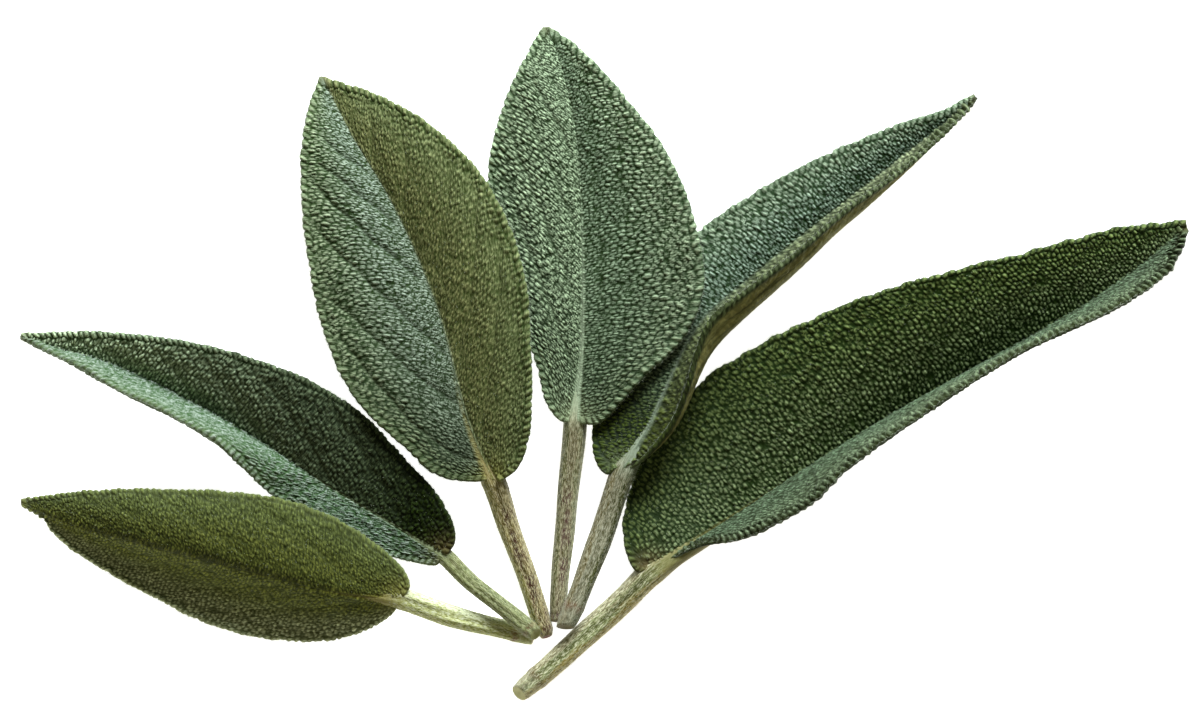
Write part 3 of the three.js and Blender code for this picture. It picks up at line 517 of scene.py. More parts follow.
def dressHalf(leaf, half, way, s, t, random):
    # One half's places, its height above the smooth surface and what its colours are made from;
    # way is -1 on the left and 1 on the right. A pad's height is its rise and size times an arch
    # of its dome. A side vein is the parabola x = start + lean y + bend y^2: pads are lower on it,
    # and between two veins a pleat stands half a sine wave high. The midrib's cord is an S-curve
    # across. Each edge pad pushes the edge out by a half circle's arch, and slow sines make it
    # uneven.
    form, look = bladeForm, leaf["blade"]
    places, rib, edge, length = halfSurface(leaf, half, s, t)
    x, y = flatten(rib, edge, length, s, t)
    outline = (x[:, -1], y[:, -1], lengthTo(edge))
    inside, along = edgeDistance(x, y, outline)
    inside = np.maximum(inside, 0)
    inside[:, -1] = 0
    sites = padSites(half, length, outline, random)
    dome, size, pad = padField(half, x, y, inside, along, sites)

    luck = random.uniform(-1, 1, 4096)[pad % 4096]
    fade = ease(0, 1, s / look["midribReach"])[:, None]
    ribWidth = np.interp(s, form["widthAt"], look["midribWidth"])[:, None] / 2
    offRib = ease(0.7, 1.6, y / ribWidth)
    nearEdge = 1 - ease(0.7, 1.6, inside / half["fringe"])
    gap = half["gap"] + half["notch"] * nearEdge
    dome = np.clip((dome - gap) / (1 - gap), 0, 1) ** (1 - 0.25 * nearEdge)
    nearEdge *= 0.4 + 0.6 * ease(0.02, 0.14, s)[:, None]    # edge pads are lower at the base
    rise = half["rise"] * (1 - nearEdge) + half["edgeRise"] * nearEdge
    rise = rise * (1 + form["padHeights"] * luck) * size
    height = rise * dome * (1.7 - 0.7 * dome) * (1 - (1 - offRib) * (1 - 0.6 * fade))

    start, lean, bend = np.array(half["veins"]).T
    wavy = y[..., None] + 0.12 * np.sin(x / 0.9)[..., None]
    veins = start + lean * wavy + bend * wavy ** 2
    toVein = (np.abs(x[..., None] - veins) / np.hypot(1, lean + 2 * bend * wavy)).min(-1)
    veins = np.concatenate([veins[..., :1] - 9, veins, veins[..., -1:] + 9], -1)
    passed = np.clip((x[..., None] - veins[..., :-1]) / np.diff(veins, axis=-1), 0, 1).sum(-1)
    # pleats die away in 3 mm at the edge, in 1.4 mm at the midrib, and where the half is slim
    clear = ease(0.5, 3, inside) * ease(0.2, 1.4, y) * np.clip(y[:, -1:] / 6, 0, 1)
    vein = clear * bell(toVein, form["veinWidth"]) * min(1, half["pleat"] / form["pleatSpan"])
    height *= 1 - form["veinDepth"] * vein
    height += half["pleat"] * clear * (np.sin(np.pi * (passed % 1)) - 0.5)
    height -= form["veinSunk"] * half["pleat"] * vein
    high, deep = form["cord"]
    cord = high * (1 - ease(0, 1, y / ribWidth)) - deep * bell(y / ribWidth - 1.2, 0.4)
    height += cord * (1 - 0.5 * fade)

    at = sites["at"]
    beside = np.searchsorted((at[1:] + at[:-1]) / 2, along)
    toPad = np.abs(along - at[beside]) / half["pitch"]
    ends = (ease(0, 0.09, s) * ease(0, 0.03, 1 - s))[:, None]    # the outline is smooth there
    scallop = form["scallop"] * (np.sqrt(1 - np.clip(2 * toPad, 0, 0.98) ** 2) - 0.62)
    scallop *= bell(inside, 0.5) * ends * sites["push"][beside]
    uneven = (np.sin(along / 0.83 + leaf["seed"]) * np.sin(along / 2.1)
              + 0.8 * np.sin(along / 0.47 + 2 * np.sin(along / 3.1)) * np.sin(along / 1.7 + 1))
    scallop += form["uneven"] * half["ragged"] * uneven * bell(inside, 0.9) * ends
    outward = unit(edge - rib)
    tangent = unit(np.gradient(edge, axis=0))
    outward = unit(outward - (outward * tangent).sum(-1, keepdims=True) * tangent)
    places = places + outward[:, None] * scallop[..., None]
    wave = form["wave"] * np.exp(-inside / 2.5)
    height += wave * np.sin(along / 1.4 + leaf["seed"]) * ends

    hairs = math.radians(half["hairs"])
    fromBase = np.linalg.norm(places - rib[0], axis=-1)
    fromTip = np.linalg.norm(places - rib[-1], axis=-1)
    offMidrib = np.abs(way * y + leaf["midribShift"]) / ribWidth
    rimReach, baseReach, tipReach = form["reaches"]
    return {
        "places": places, "height": height, "inside": inside, "x": x, "y": y,
        # the side veins take on the furrows' colour: painted shade along their sunken lines
        "dome": dome * (1 - 0.75 * vein) + 0.2 * vein,
        "felt": half["felt"] * (1 - nearEdge),
        "out": t[None] + 0 * x,
        "side": 0.5 + 0.5 * np.tanh(way * y / 0.3),
        "midrib": (1 - ease(0.2, 1.7, offMidrib)) * (1 - fade),
        "hairAlong": x * math.cos(hairs) + y * math.sin(hairs),
        "hairAcross": y * math.cos(hairs) - x * math.sin(hairs),
        # shade: how much painted shade darkens the half at this share of its length
        "shade": np.interp(s, form["shadeAt"], half["shade"])[:, None] + 0 * x,
        "luck": 0.5 + 0.5 * luck,
        "rim": np.exp(-inside / rimReach),
        "base": bell(fromBase, baseReach),
        "tip": bell(fromTip, tipReach),
    }


def buildBlade(leaf, material):
    # Upper face, a lower face with half as many rows and columns, and a shared rounded rim: the
    # two lie half the thickness off the middle, times a quarter circle's arch near the edge.
    form = bladeForm
    random = np.random.default_rng(leaf["seed"])
    length = curvePoints(leaf["rib"], [0])[1]
    (stepAlong, stepAcross), (spareRows, spareColumns) = leaf["step"], form["spare"]
    # both counts are even, for the lower face
    s = crowded(2 * round(length * spareRows / stepAlong / 2))
    sides = []
    for way, half in ((-1, leaf["left"]), (1, leaf["right"])):
        _, rib, edge, _ = halfSurface(leaf, half, s, np.array([0.0, 1.0]))
        broad = np.linalg.norm(edge - rib, axis=1).max()
        columns = 2 * round(broad / stepAcross / 2 * spareColumns)
        sides.append(dressHalf(leaf, half, way, s, columnShares(columns), random))
    middle = sides[0]["x"].shape[1] - 1
    values = {key: np.concatenate([sides[0][key][:, :0:-1], sides[1][key]], axis=1)
              for key in sides[0]}
    places, height, inside = values.pop("places"), values.pop("height"), values.pop("inside")
    flat = np.stack([values.pop("x"), values.pop("y")], -1)

    # round the fold along the midrib, where the two halves meet at an angle
    nearFold = bell(flat[..., 1:], leaf["fold"])
    for _ in range(int(form["foldPasses"] * leaf["fold"] ** 2)):
        soft = places.copy()
        soft[:, 1:-1] = (places[:, :-2] + 2 * places[:, 1:-1] + places[:, 2:]) / 4
        places = places + (soft - places) * nearFold
    normal = unit(np.cross(np.gradient(places, axis=1), np.gradient(places, axis=0)))
    ridge = places[:, middle].copy()

    # rounds off at the edges and at both ends
    inside = np.minimum(inside, np.minimum(s, 1 - s)[:, None] * length)
    rim = np.sqrt(1 - (1 - np.clip(inside / form["rimWidth"], 0, 1)) ** 2)
    rim[[0, -1]] = 0
    rim[:, [0, -1]] = 0
    half = form["thickness"] / 2
    lift = height * np.clip(rim, 0.35, 1)
    top = places + normal * (half * rim + lift)[..., None]
    inward, outward = form["hollow"]
    hollow = lift * (inward - (inward + outward) * np.exp(-inside / 0.45))
    bottom = places + normal * (hollow - half * rim)[..., None]
    bottom[[0, -1]] = top[[0, -1]]
    bottom[:, [0, -1]] = top[:, [0, -1]]

    # faces: quads above, larger quads below, and five-sided ones where the two meet
    upper = np.arange(inside.size).reshape(inside.shape)
    lower = upper[::2, ::2].copy()
    inner = (lower.shape[0] - 2, lower.shape[1] - 2)
    lower[1:-1, 1:-1] = upper.size + np.arange(inner[0] * inner[1]).reshape(inner)
    a, b, c, d = lower[:-1, :-1], lower[:-1, 1:], lower[1:, 1:], lower[1:, :-1]
    first, last = upper[0, 1::2], upper[-1, 1::2]
    left, right = upper[1::2, 0], upper[1::2, -1]
    faces = facesOf(upper[:-1, :-1], upper[:-1, 1:], upper[1:, 1:], upper[1:, :-1])
    faces += facesOf(*(corner[1:-1, 1:-1] for corner in (a, d, c, b)))
    for seam, place, extra in ((np.s_[0], 4, first), (np.s_[-1], 2, last),
                               (np.s_[:, 0], 1, left), (np.s_[:, -1], 3, right)):
        ring = [a[seam], d[seam], c[seam], b[seam]]
        ring.insert(place, extra)
        faces += facesOf(*ring)[1:-1]
    faces += facesOf(*np.array([
        [a[0, 0], left[0], d[0, 0], c[0, 0], b[0, 0], first[0]],
        [a[0, -1], d[0, -1], c[0, -1], right[0], b[0, -1], first[-1]],
        [a[-1, 0], left[-1], d[-1, 0], last[0], c[-1, 0], b[-1, 0]],
        [a[-1, -1], d[-1, -1], last[-1], c[-1, -1], right[-1], b[-1, -1]]]).T)

    inset = (slice(2, -1, 2), slice(2, -1, 2))
    vertices = np.vstack([top.reshape(-1, 3), bottom[inset].reshape(-1, 3)])
    values["under"] = np.zeros(inside.shape)
    values = {key: np.concatenate([value.ravel(), value[inset].ravel()])
              for key, value in values.items()}
    values["under"][upper.size:] = ease(0.3, 0.6, inside[inset]).ravel()
    flat = np.vstack([flat.reshape(-1, 2), flat[inset].reshape(-1, 2)])
    piece = addPiece(leaf["name"] + "_blade_fine", vertices, faces, values, flat, material)
    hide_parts(leaf["name"] + "_blade")
    return {"top": top, "normal": normal, "middle": middle, "s": s, "ridge": ridge}


# Fresh sage blade: a thin green sheet puckered between its veins, with a felt of white hairs
# that is thickest on the crests. The eye sees dark green furrows and pale, dull crests. The
# furrows' and side veins' dark colour is partly the green where felt is thin and partly painted
# shade in the hollows.
def bladeMaterial(leaf):
    look, left, right = leaf["blade"], leaf["left"], leaf["right"]
    material, addNode, read = newMaterial("felted_sage_blade_" + leaf["name"][-1], (
        "dome", "luck", "side", "out", "midrib", "rim", "base", "tip", "under", "felt", "shade",
        "hairAlong", "hairAcross"))
    smooth = {"interpolation_type": "SMOOTHSTEP"}

    # Tufts of hair about 0.8 mm long and 0.2 mm apart, and the two halves take theirs from
    # different layers of the noise; patches some 4 mm across, where the blade is greener or
    # greyer; and below, darker streaks some 8 mm long.
    flat = addNode("UVMap", uv_map="flat")
    tufts = addNode("CombineXYZ", {0: read["hairAlong"], 1: read["hairAcross"], 2: read["side"]})
    for name, places, stretch, detail, roughness in (
            ("hair", tufts, (1.2, 4.8, 1), 3.0, 0.6),
            ("patches", flat, (0.25, 0.25, 1), 2.0, 0.5),
            ("streaks", flat, (0.12, 2.4, 1), 3.0, 0.5)):
        places = addNode("VectorMath", {0: places, 1: stretch}, operation="MULTIPLY")
        read[name] = addNode("TexNoise", {"Vector": places, "Scale": 1.0, "Detail": detail,
                                          "Roughness": roughness})
    # a net of veins about 0.8 mm across, seen from below
    read["net"] = addNode("TexVoronoi", {0: flat, "Scale": 1.25}, feature="DISTANCE_TO_EDGE")
    # hairs reach from the crests over the furrows, so that the crests have ragged outlines
    read["reach"] = addNode("Math", {0: read["hair"], 1: 0.7, 2: read["dome"]},
                            operation="MULTIPLY_ADD")
    for name, source, low, high, least, most, kind in (
            ("outwards", "out", 0.25, 0.9, 0, 1, smooth),
            ("crest", "reach", 0.41, 1.15, 0, 1, smooth),
            ("strands", "hair", 0.38, 0.62, 0, 1, {}), ("cord", "strands", 0, 1, 0.55, 0.95, {}),
            ("patchy", "patches", 0.3, 0.7, 0, 0.3, {}), ("worn", "luck", 0, 1, 0.7, 1.05, {}),
            ("brush", "felt", 0, 0.6, 0.75, 0.9, {}), ("mesh", "net", 0.02, 0.2, 0, 0.35, {}),
            ("thread", "streaks", 0.45, 0.65, 0, 0.7, {})):
        read[name] = addNode("MapRange", {0: read[source], "From Min": low, "From Max": high,
                                          "To Min": least, "To Max": most}, **kind)

    # colours of the left half and the right half, partly the leaf's own tint and partly painted
    # light and shade: each half's set is paler or darker for the light that falls on it
    for name in ("furrow", "inner", "outer", "rim"):
        read[name + "Colour"] = addNode("Mix", {0: read["side"], 6: left[name], 7: right[name]},
                                        **rgba)
    furrow = read["furrowColour"]
    crest = addNode("Mix", {0: read["outwards"], 6: read["innerColour"], 7: read["outerColour"]},
                    **rgba)
    green = addNode("Mix", {0: 0.5, 6: furrow, 7: crest}, **rgba)
    crest = addNode("Mix", {0: read["patchy"], 6: crest, 7: green}, **rgba)

    # where hairs are seen: on the crests, in tufts, and in the furrows that felt fills
    top = addNode("Math", {0: read["crest"], 1: read["worn"]}, operation="MULTIPLY")
    top = addNode("Mix", {0: read["felt"], 2: top, 3: 0.75})
    share = addNode("Math", {0: read["strands"], 1: 1.0}, operation="SUBTRACT")
    share = addNode("Math", {0: share, 1: read["brush"], 2: 1.1}, operation="MULTIPLY_ADD")
    share = addNode("Math", {0: share, 1: top}, operation="MULTIPLY")
    # the furrow colour is partly painted shade in the hollows between pads
    colour = addNode("Mix", {0: share, 6: furrow, 7: crest}, **rgba)
    # the colour under full painted shade: the blade's colour times the leaf's thin colour
    thin = addNode("Mix", {0: 1.0, 6: colour, 7: look["thin"]}, blend_type="MULTIPLY", **rgba)
    rim = addNode("Math", {0: top, 1: -0.45, 2: 0.65}, operation="MULTIPLY_ADD")
    mesh = addNode("Math", {0: read["mesh"], 1: read["thread"]}, operation="MAXIMUM")
    lower = addNode("Mix", {0: mesh, 6: look["under"], 7: furrow}, **rgba)
    # painted shade darkens the blade as far as its shade says; the lower face is smooth felt over
    # the net
    for name, strength, over in (
            ("shade", 1.0, thin), ("rim", rim, read["rimColour"]), ("base", 0.55, look["base"]),
            ("tip", 0.5, "#5d5a34"), ("midrib", read["cord"], look["midrib"]),
            ("under", 1.0, lower)):
        share = addNode("Math", {0: read[name], 1: strength}, operation="MULTIPLY")
        colour = addNode("Mix", {0: share, 6: colour, 7: over}, **rgba)

    bump = addNode("Bump", {"Height": read["hair"], "Strength": 0.9, "Distance": 0.0003})
    surface = addNode("BsdfPrincipled", {
        "Base Color": colour, "Roughness": 0.6, "IOR": 1.45, "Specular IOR Level": look["gloss"],
        "Sheen Weight": 0.07, "Sheen Roughness": 0.4, "Sheen Tint": "#dfe8cc", "Normal": bump})
    addNode("OutputMaterial", {"Surface": surface})
    return material


stalkForm = {
    "sides": 32,
    "ringGap": 0.36,
    "channel": 0.2,       # depth of the channel on top, as a share of the radius
    "wander": 0.1,        # and how far it strays sideways
    "flat": 0.93,         # where the round section is cut flat underneath
    "ridges": [0.03, 0.024],  # heights of its fine ridges, as shares of the radius
    "dents": 0.035,
    "ringRise": 0.06,     # how much thicker the stalk is at its ring
    "ribAtBase": 0.78,    # midrib radius just past the blade's base, as a share of the stalk's
    "ribTaper": 0.66,     # share of the stalk's radius that the midrib loses over the blade
    "shoulder": 0.07,     # share of the blade's length in which the stalk narrows to the midrib
    "proud": 0.36,        # how far the stalk stands up through the blade's base
    "sinks": 0.16,        # share of the blade's length in which it sinks below the upper face
    "sunk": 0.25,         # and how deep it then lies
    "buried": 0.85,       # how deep the midrib's middle lies, as a share of its radius
    "ribEnd": 0.88,       # where the midrib fades into the blade
    "capSizes": [0.85, 0.5, 0.2],    # rings that close the ends, as shares of the last one
    "dish": [-0.05, 0.06, 0.1],      # and how far in they lie at the cut, in radii
}


def buildStalk(leaf, blade, material):
    # A channelled round section carried along the stalk, up through the blade's base and on below
    # its fold. Each ring is the circle times the radius there, less the channel on top, and fine
    # ridges run along it as sines of the angle. The cut end is closed, and dished.
    form, stalk, sides = stalkForm, leaf["stalk"], stalkForm["sides"]
    s = np.linspace(0, form["ribEnd"], 90)
    rib = between(s, blade["s"], blade["ridge"])
    normal = between(np.maximum(s, 0.08), blade["s"], blade["normal"][:, blade["middle"]])
    upright = 1 - ease(0, 0.2, s)[:, None] if leaf["arched"] else 1.0
    normal = unit(unit(normal) + np.array([0, 0, 1.0]) * upright)
    shoulder = np.maximum(0, 1 - s / form["shoulder"]) ** 2
    thin = form["ribAtBase"] - form["ribTaper"] * s
    radius = stalk["radii"][-1][1] * (thin + (1 - thin) * shoulder)
    proud = form["proud"] * (1 - ease(0, form["sinks"], s)) - form["sunk"]
    depth = form["buried"] * radius - 0.5 * bladeForm["thickness"] - proud
    below = rib - normal * depth[:, None]
    path = stalk["path"] + [below[0].tolist()]
    reach = curvePoints(path, [0])[1]
    u = np.linspace(0, 1, int(reach / form["ringGap"]), endpoint=False)
    centres = np.vstack([curvePoints(path, u)[0], below])
    shares, widths = np.array(stalk["radii"]).T
    radii = np.concatenate([np.interp(u, shares, widths), radius])
    kernel = np.array([1, 2, 3, 4, 3, 2, 1]) / 16    # smooths the bend where the two meet
    for axis in range(3):
        centres[3:-3, axis] = np.convolve(centres[:, axis], kernel, "valid")
    run = lengthTo(centres)[:, None]
    share = run / reach

    angle = np.linspace(0, 2 * np.pi, sides, endpoint=False)
    across, up = np.cos(angle), np.sin(angle)
    bare = 1 - ease(reach - 1, reach + 3, run)
    wander = np.sin(run * 0.3 + leaf["seed"]) * form["wander"]
    channel = form["channel"] * bell(across - wander, 0.3) * (up > 0)
    flatUp = np.maximum(up, -form["flat"]) - channel * (0.4 + 0.6 * bare)
    fine = (form["ridges"][0] * np.sin(13 * angle + 3 * np.sin(run / 4))
            + form["ridges"][1] * np.sin(21 * angle + run / 2.2 + 1))
    dents = form["dents"] * np.sin(run / 1.7 + leaf["seed"] + 2 * across)
    swell = form["ringRise"] * bell(share - stalk["ring"], 0.025)
    size = radii[:, None] * (1 + fine + (dents + swell) * bare)
    ahead = unit(np.gradient(centres, axis=0))
    sideways = unit(np.cross(ahead, [0, 0, 1]))
    upward = np.cross(sideways, ahead)
    slant = (stalk["slant"] * across + stalk["bevel"] * up) * size * np.exp(-run / 1.5)
    places = (centres[:, None] + sideways[:, None] * (across * size)[..., None]
              + upward[:, None] * (flatUp * size)[..., None] + ahead[:, None] * slant[..., None])

    shrink = np.array(form["capSizes"])
    dish = np.array(form["dish"]) * radii[0]
    front = (centres[0] + (places[0] - centres[0]) * shrink[:, None, None]
             + ahead[0] * dish[:, None, None])
    back = centres[-1] + (places[-1] - centres[-1]) * shrink[:, None, None]
    rings = np.concatenate([front[::-1], places, back])
    vertices = np.vstack([rings.reshape(-1, 3), front[-1].mean(0), back[-1].mean(0)])
    vertices[:, 2] = np.maximum(vertices[:, 2], 0.02)
    tip = len(rings) * sides
    index = np.arange(tip).reshape(-1, sides)
    around = np.roll(index, -1, axis=1)
    faces = facesOf(index[:-1], index[1:], around[1:], around[:-1])
    faces += facesOf(index[0], around[0], np.full(sides, tip))
    faces += facesOf(around[-1], index[-1], np.full(sides, tip + 1))

    def ringed(values):
        values = values + 0 * run + 0 * angle
        whole = np.concatenate([np.repeat(values[:1], 3, 0), values, np.repeat(values[-1:], 3, 0)])
        return np.concatenate([whole.ravel(), [whole[0].mean(), whole[-1].mean()]])

    middle, half, start, end = stalk["stainBand"]
    stain = 1 - ease(0.5, 1, np.abs(across - middle - 2 * wander) / half)
    stain = stain * ease(start - 0.03, start + 0.05, share) * (1 - ease(end - 0.08, end, share))
    toRing = share - stalk["ring"] - 0.008 * np.sin(5 * angle)
    cut = np.zeros(len(vertices))
    cut[:3 * sides] = 1
    cut[tip] = 1
    values = {
        # groove: the channel on top, where painted shade darkens the stalk
        "groove": ringed((1 - ease(0.05, 0.3, np.abs(across - wander))) * ease(0.1, 0.6, up)),
        "band": ringed(0.5 + 0.5 * across),
        "stain": ringed(stain * (up > -0.3)),
        "ring": ringed(bell(toRing, 0.024)),
        "end": ringed(1 - ease(stalk["ring"] - 0.02, stalk["ring"] + 0.01, share)),
        "joined": ringed(ease(reach - 1.5, reach + 2.5, run)),
        "cut": cut,
    }
    flat = np.stack([ringed(run), ringed(angle * 1.2)], -1)
    piece = addPiece(leaf["name"] + "_stalk_fine", vertices, faces, values, flat, material)
    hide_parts(leaf["name"] + "_stalk")
    return {"places": places, "centres": centres, "run": run[:, 0], "reach": reach}


# Fresh leaf stalk: ribbed green tissue with long pale fibres, stained purple-brown where it was
# held to the sun, under thin white down. The eye sees lengthwise streaks and dull pale flanks.
# The channel on top carries painted shade, a darker tone.
def stalkMaterial(leaf):
    look = leaf["stalk"]
    material, addNode, read = newMaterial("streaked_sage_stalk_" + leaf["name"][-1], (
        "groove", "band", "stain", "ring", "end", "joined", "cut"))

    # flecks about 0.14 mm wide and 0.6 mm long, wider streaks of 0.4 by 5 mm, and stained patches
    # of 1 by 3 mm
    flat = addNode("UVMap", uv_map="flat")
    for name, stretch, detail, roughness, distortion in (
            ("fibres", (1.6, 7.2, 1), 4.0, 0.7, 0.3), ("streaks", (0.2, 2.5, 1), 3.0, 0.5, 0.0),
            ("patches", (0.33, 1.0, 1), 2.0, 0.5, 0.0)):
        places = addNode("VectorMath", {0: flat, 1: stretch}, operation="MULTIPLY")
        read[name] = addNode("TexNoise", {"Vector": places, "Scale": 1.0, "Detail": detail,
                                          "Roughness": roughness, "Distortion": distortion})
    wobble = addNode("Math", {0: read["streaks"], 1: 0.9, 2: -0.45}, operation="MULTIPLY_ADD")
    read["place"] = addNode("Math", {0: read["band"], 1: wobble}, operation="ADD")
    for name, source, low, high, least, most in (
            ("toMiddle", "place", 0.22, 0.36, 0, 1), ("toRight", "place", 0.64, 0.78, 0, 1),
            ("dark", "fibres", 0.5, 0.4, 0, 0.85), ("spread", "fibres", 0.6, 0.46, 0, 1),
            ("runs", "streaks", 0.38, 0.52, 0, 1), ("patch", "patches", 0.4, 0.54, 0, 1),
            ("pale", "fibres", 0.51, 0.6, 0, 0.9), ("cord", "fibres", 0.35, 0.6, 0.6, 0.95)):
        read[name] = addNode("MapRange", {0: read[source], "From Min": low, "From Max": high,
                                          "To Min": least, "To Max": most})

    # products of two masks
    for name, first, second in (
            ("deep", "groove", 0.5), ("spots", "spread", "patch"), ("spots", "spots", "stain"),
            ("spots", "spots", look["stained"]), ("ring", "ring", "runs"), ("end", "end", 0.15),
            ("cord", "cord", "joined")):
        read[name] = addNode("Math", {0: read[first], 1: read.get(second, second)},
                             operation="MULTIPLY")
    read["spots"] = addNode("Math", {0: read["spots"], 1: read["ring"]}, operation="MAXIMUM")

    # the bands across are partly the stalk's own tints and partly painted light and shade on its
    # flanks
    left, middle, right = look["bands"]
    colour = addNode("Mix", {0: read["toMiddle"], 6: left, 7: middle}, **rgba)
    colour = addNode("Mix", {0: read["toRight"], 6: colour, 7: right}, **rgba)
    # a darker tone: for the dark fibre flecks, and as painted shade in the channel
    shade = addNode("Mix", {0: 1.0, 6: colour, 7: "#77743f"}, blend_type="MULTIPLY", **rgba)
    for name, over in (
            ("dark", shade), ("deep", shade), ("spots", look["stain"]), ("pale", look["down"]),
            ("end", look["down"]), ("cord", leaf["blade"]["midrib"]), ("cut", look["cut"])):
        colour = addNode("Mix", {0: read[name], 6: colour, 7: over}, **rgba)

    bump = addNode("Bump", {"Height": read["fibres"], "Strength": 0.7, "Distance": 0.00015})
    surface = addNode("BsdfPrincipled", {
        "Base Color": colour, "Roughness": 0.5, "IOR": 1.45, "Specular IOR Level": 0.35,
        "Sheen Weight": 0.15, "Sheen Roughness": 0.4, "Sheen Tint": "#f0f2e6", "Normal": bump})
    addNode("OutputMaterial", {"Surface": surface})
    return material


downForm = {
    "width": 0.03,
    "sunk": 0.03,         # how deep a hair's root lies
    # for each millimetre of edge, or square millimetre of the upper face and the stalk: how many
    # hairs, their length, the shortest's share of it, how far they sway and their lean, which is
    # outwards and up at the edge, and up and ahead on the others
    "edge": [10, 0.34, 0.5, 0.45, (1, 0.3)],
    "face": [0.9, 0.3, 0.5, 0.4, (0.55, 0.8)],
    "stalk": [6, 0.42, 0.4, 0.4, (0.8, 0.5)],
}


def buildDown(leaf, blade, stalk, material):
    # Each hair is a slim closed spike of four triangles: three corners round its root and a tip.
    # Its way is the sum of two directions, each times its lean, and a random sway.
    form = downForm
    random = np.random.default_rng(leaf["seed"] + 9)
    roots, ways, lengths = [], [], []

    def grow(kind, root, one, other):
        _, length, shortest, sway, lean = form[kind]
        roots.append(root)
        ways.append(lean[0] * one + lean[1] * other + random.normal(0, sway, root.shape))
        lengths.append(length * random.uniform(shortest, 1.2, len(root)))

    top, normal = blade["top"], blade["normal"]
    for column, inner in ((0, 6), (-1, -7)):
        line, behind, facing = top[:, column], top[:, inner], normal[:, column]
        run = lengthTo(line)
        count = int(run[-1] * form["edge"][0])
        at = np.interp(random.uniform(0, run[-1], count), run, np.arange(len(run)))
        low = at.astype(int).clip(0, len(run) - 2)
        share = (at - low)[:, None]
        grow("edge", line[low] * (1 - share) + line[low + 1] * share,
             unit(line[low] - behind[low]), facing[low])

    area = np.linalg.norm(np.cross(top[1:, :-1] - top[:-1, :-1], top[:-1, 1:] - top[:-1, :-1]),
                          axis=-1)
    count = int(area.sum() * form["face"][0])
    cell = np.searchsorted(np.cumsum(area.ravel()) / area.sum(), random.uniform(0, 1, count))
    i, j = np.unravel_index(cell.clip(0, area.size - 1), area.shape)
    a, b = random.uniform(0, 1, (2, count, 1))
    grow("face", top[i, j] * (1 - a) * (1 - b) + top[i + 1, j] * a * (1 - b)
         + top[i, j + 1] * (1 - a) * b + top[i + 1, j + 1] * a * b,
         normal[i, j], unit(top[i + 1, j] - top[i, j]))

    places, centres = stalk["places"], stalk["centres"]
    rings = int((stalk["run"] < stalk["reach"] + 2).sum())
    girth = 2 * np.pi * leaf["stalk"]["radii"][-1][1]
    count = int(stalk["reach"] * girth * form["stalk"][0])
    i = random.integers(0, rings - 1, count)
    j = random.integers(0, places.shape[1], count)
    a = random.uniform(0, 1, (count, 1))
    grow("stalk", places[i, j] * (1 - a) + places[i + 1, j] * a,
         unit(places[i, j] - centres[i]), unit(centres[i + 1] - centres[i]))

    root, way = np.vstack(roots), unit(np.vstack(ways))
    length = np.concatenate(lengths)[:, None]
    side = unit(np.cross(way, [0.3, 0.5, 0.81]))
    other = np.cross(way, side)
    foot = root - form["sunk"] * way
    corners = [foot + form["width"] / 2 * (math.cos(k) * side + math.sin(k) * other)
               for k in (0, 2 * math.pi / 3, 4 * math.pi / 3)]
    vertices = np.stack(corners + [root + way * length], 1).reshape(-1, 3)
    vertices[:, 2] = np.maximum(vertices[:, 2], 0.01)
    first = 4 * np.arange(len(root))[:, None]
    faces = np.concatenate([first + np.array(f) for f in
                            ([0, 2, 1], [0, 1, 3], [1, 2, 3], [2, 0, 3])]).tolist()
    piece = addPiece(leaf["name"] + "_down", vertices, faces, {}, vertices[:, :2], material)


# Plant hair: dead, air-filled cells, so it is white and a little see-through in the eye.
def downMaterial():
    material, addNode, _ = newMaterial("white_plant_hair")
    where = addNode("TexCoord").outputs["Object"]
    tone = addNode("TexNoise", {"Vector": where, "Scale": 900.0})
    colour = addNode("Mix", {0: tone, 6: "#8d9a7c", 7: "#c9d2bd"}, **rgba)
    surface = addNode("BsdfPrincipled", {"Base Color": colour, "Roughness": 0.5, "IOR": 1.5})
    addNode("OutputMaterial", {"Surface": surface})
    return material


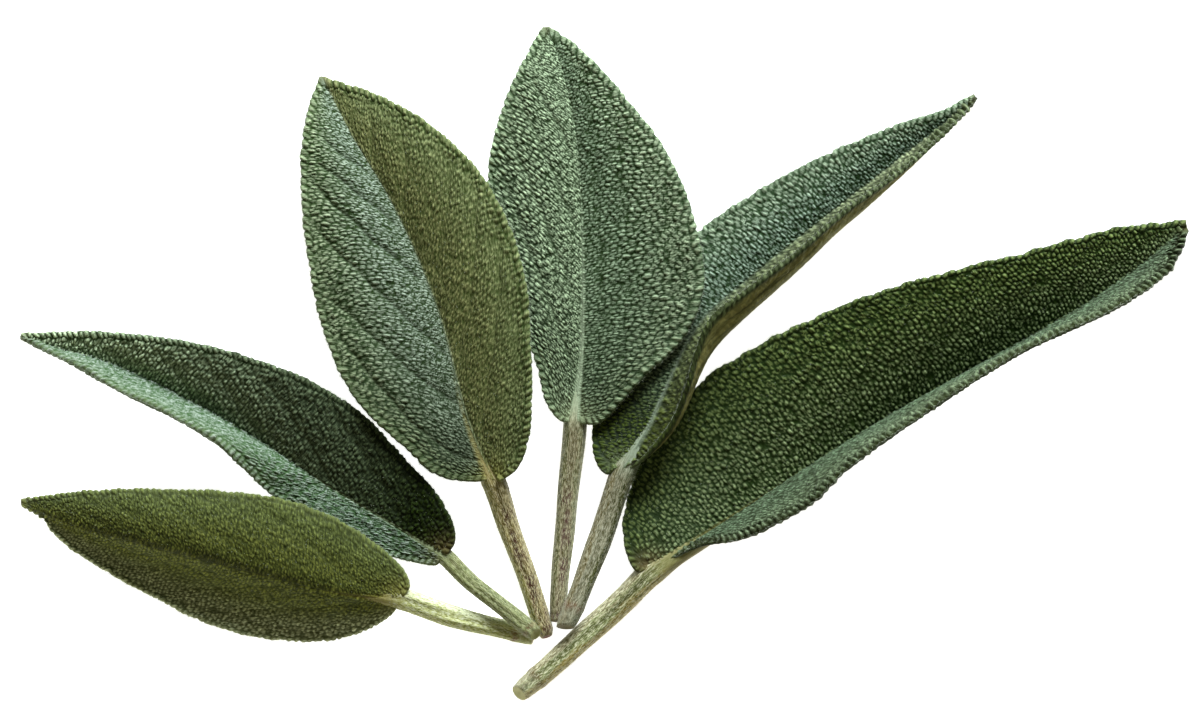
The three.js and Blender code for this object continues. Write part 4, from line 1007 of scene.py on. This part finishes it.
down = downMaterial()
for leaf in leaves:
    blade = buildBlade(leaf, bladeMaterial(leaf))
    stalk = buildStalk(leaf, blade, stalkMaterial(leaf))
    buildDown(leaf, blade, stalk, down)
    print(leaf["name"], "is dressed")


room = {
    "floorSize": 6.0,     # the room is in metres
    "floorColour": "#f7f7f6",
    "floorGlow": 0.95,
    "skyColour": "#e6e8bf",
    "skyStrength": 0.09,
    "cameraPlace": (-0.42 * mm, 0.24 * mm, 1.2),
    "lens": 300,
    "lamps": [            # name, power, colour, size and place
        ("window", 21.8, "#f3f8ff", 0.4, (0.16, 0.78, 0.42)),
        ("bounce", 1.4, "#fff1da", 0.5, (-0.25, -0.6, 0.55)),
    ],
}


def buildRoom():
    # every lamp is turned so that its axis passes through the middle of the floor
    reach = room["floorSize"] / 2
    mesh = bpy.data.meshes.new("floor")
    mesh.from_pydata([(-reach, -reach, 0), (reach, -reach, 0), (reach, reach, 0),
                      (-reach, reach, 0)], [], [(0, 1, 2, 3)])
    material, addNode, _ = newMaterial("matt_white_board")
    surface = addNode("BsdfPrincipled", {
        "Base Color": room["floorColour"], "Roughness": 0.9, "Specular IOR Level": 0.1,
        "Emission Color": "#ffffff", "Emission Strength": room["floorGlow"]})
    addNode("OutputMaterial", {"Surface": surface})
    mesh.materials.append(material)
    floor = addObject("floor", mesh)

    world = bpy.data.worlds.new("soft_room")
    scene.world = world
    world.use_nodes = True
    sky = world.node_tree.nodes["Background"]
    sky.inputs["Color"].default_value = linear(room["skyColour"])
    sky.inputs["Strength"].default_value = room["skyStrength"]

    for name, power, colour, size, place in room["lamps"]:
        lamp = bpy.data.lights.new(name, "AREA")
        lamp.energy = power
        lamp.color = linear(colour)[:3]
        lamp.size = size
        holder = addObject(name, lamp)
        holder.location = place
        ahead = -np.array(place) / np.linalg.norm(place)
        holder.rotation_euler = (math.acos(-ahead[2]), 0, math.atan2(-ahead[0], ahead[1]))

    lens = bpy.data.cameras.new("camera")
    lens.lens = room["lens"]
    lens.sensor_width = 36
    lens.clip_end = 20
    scene.camera = addObject("camera", lens)
    scene.camera.location = room["cameraPlace"]
    scene.view_settings.view_transform = "Standard"


buildRoom()
print("room and camera are set")
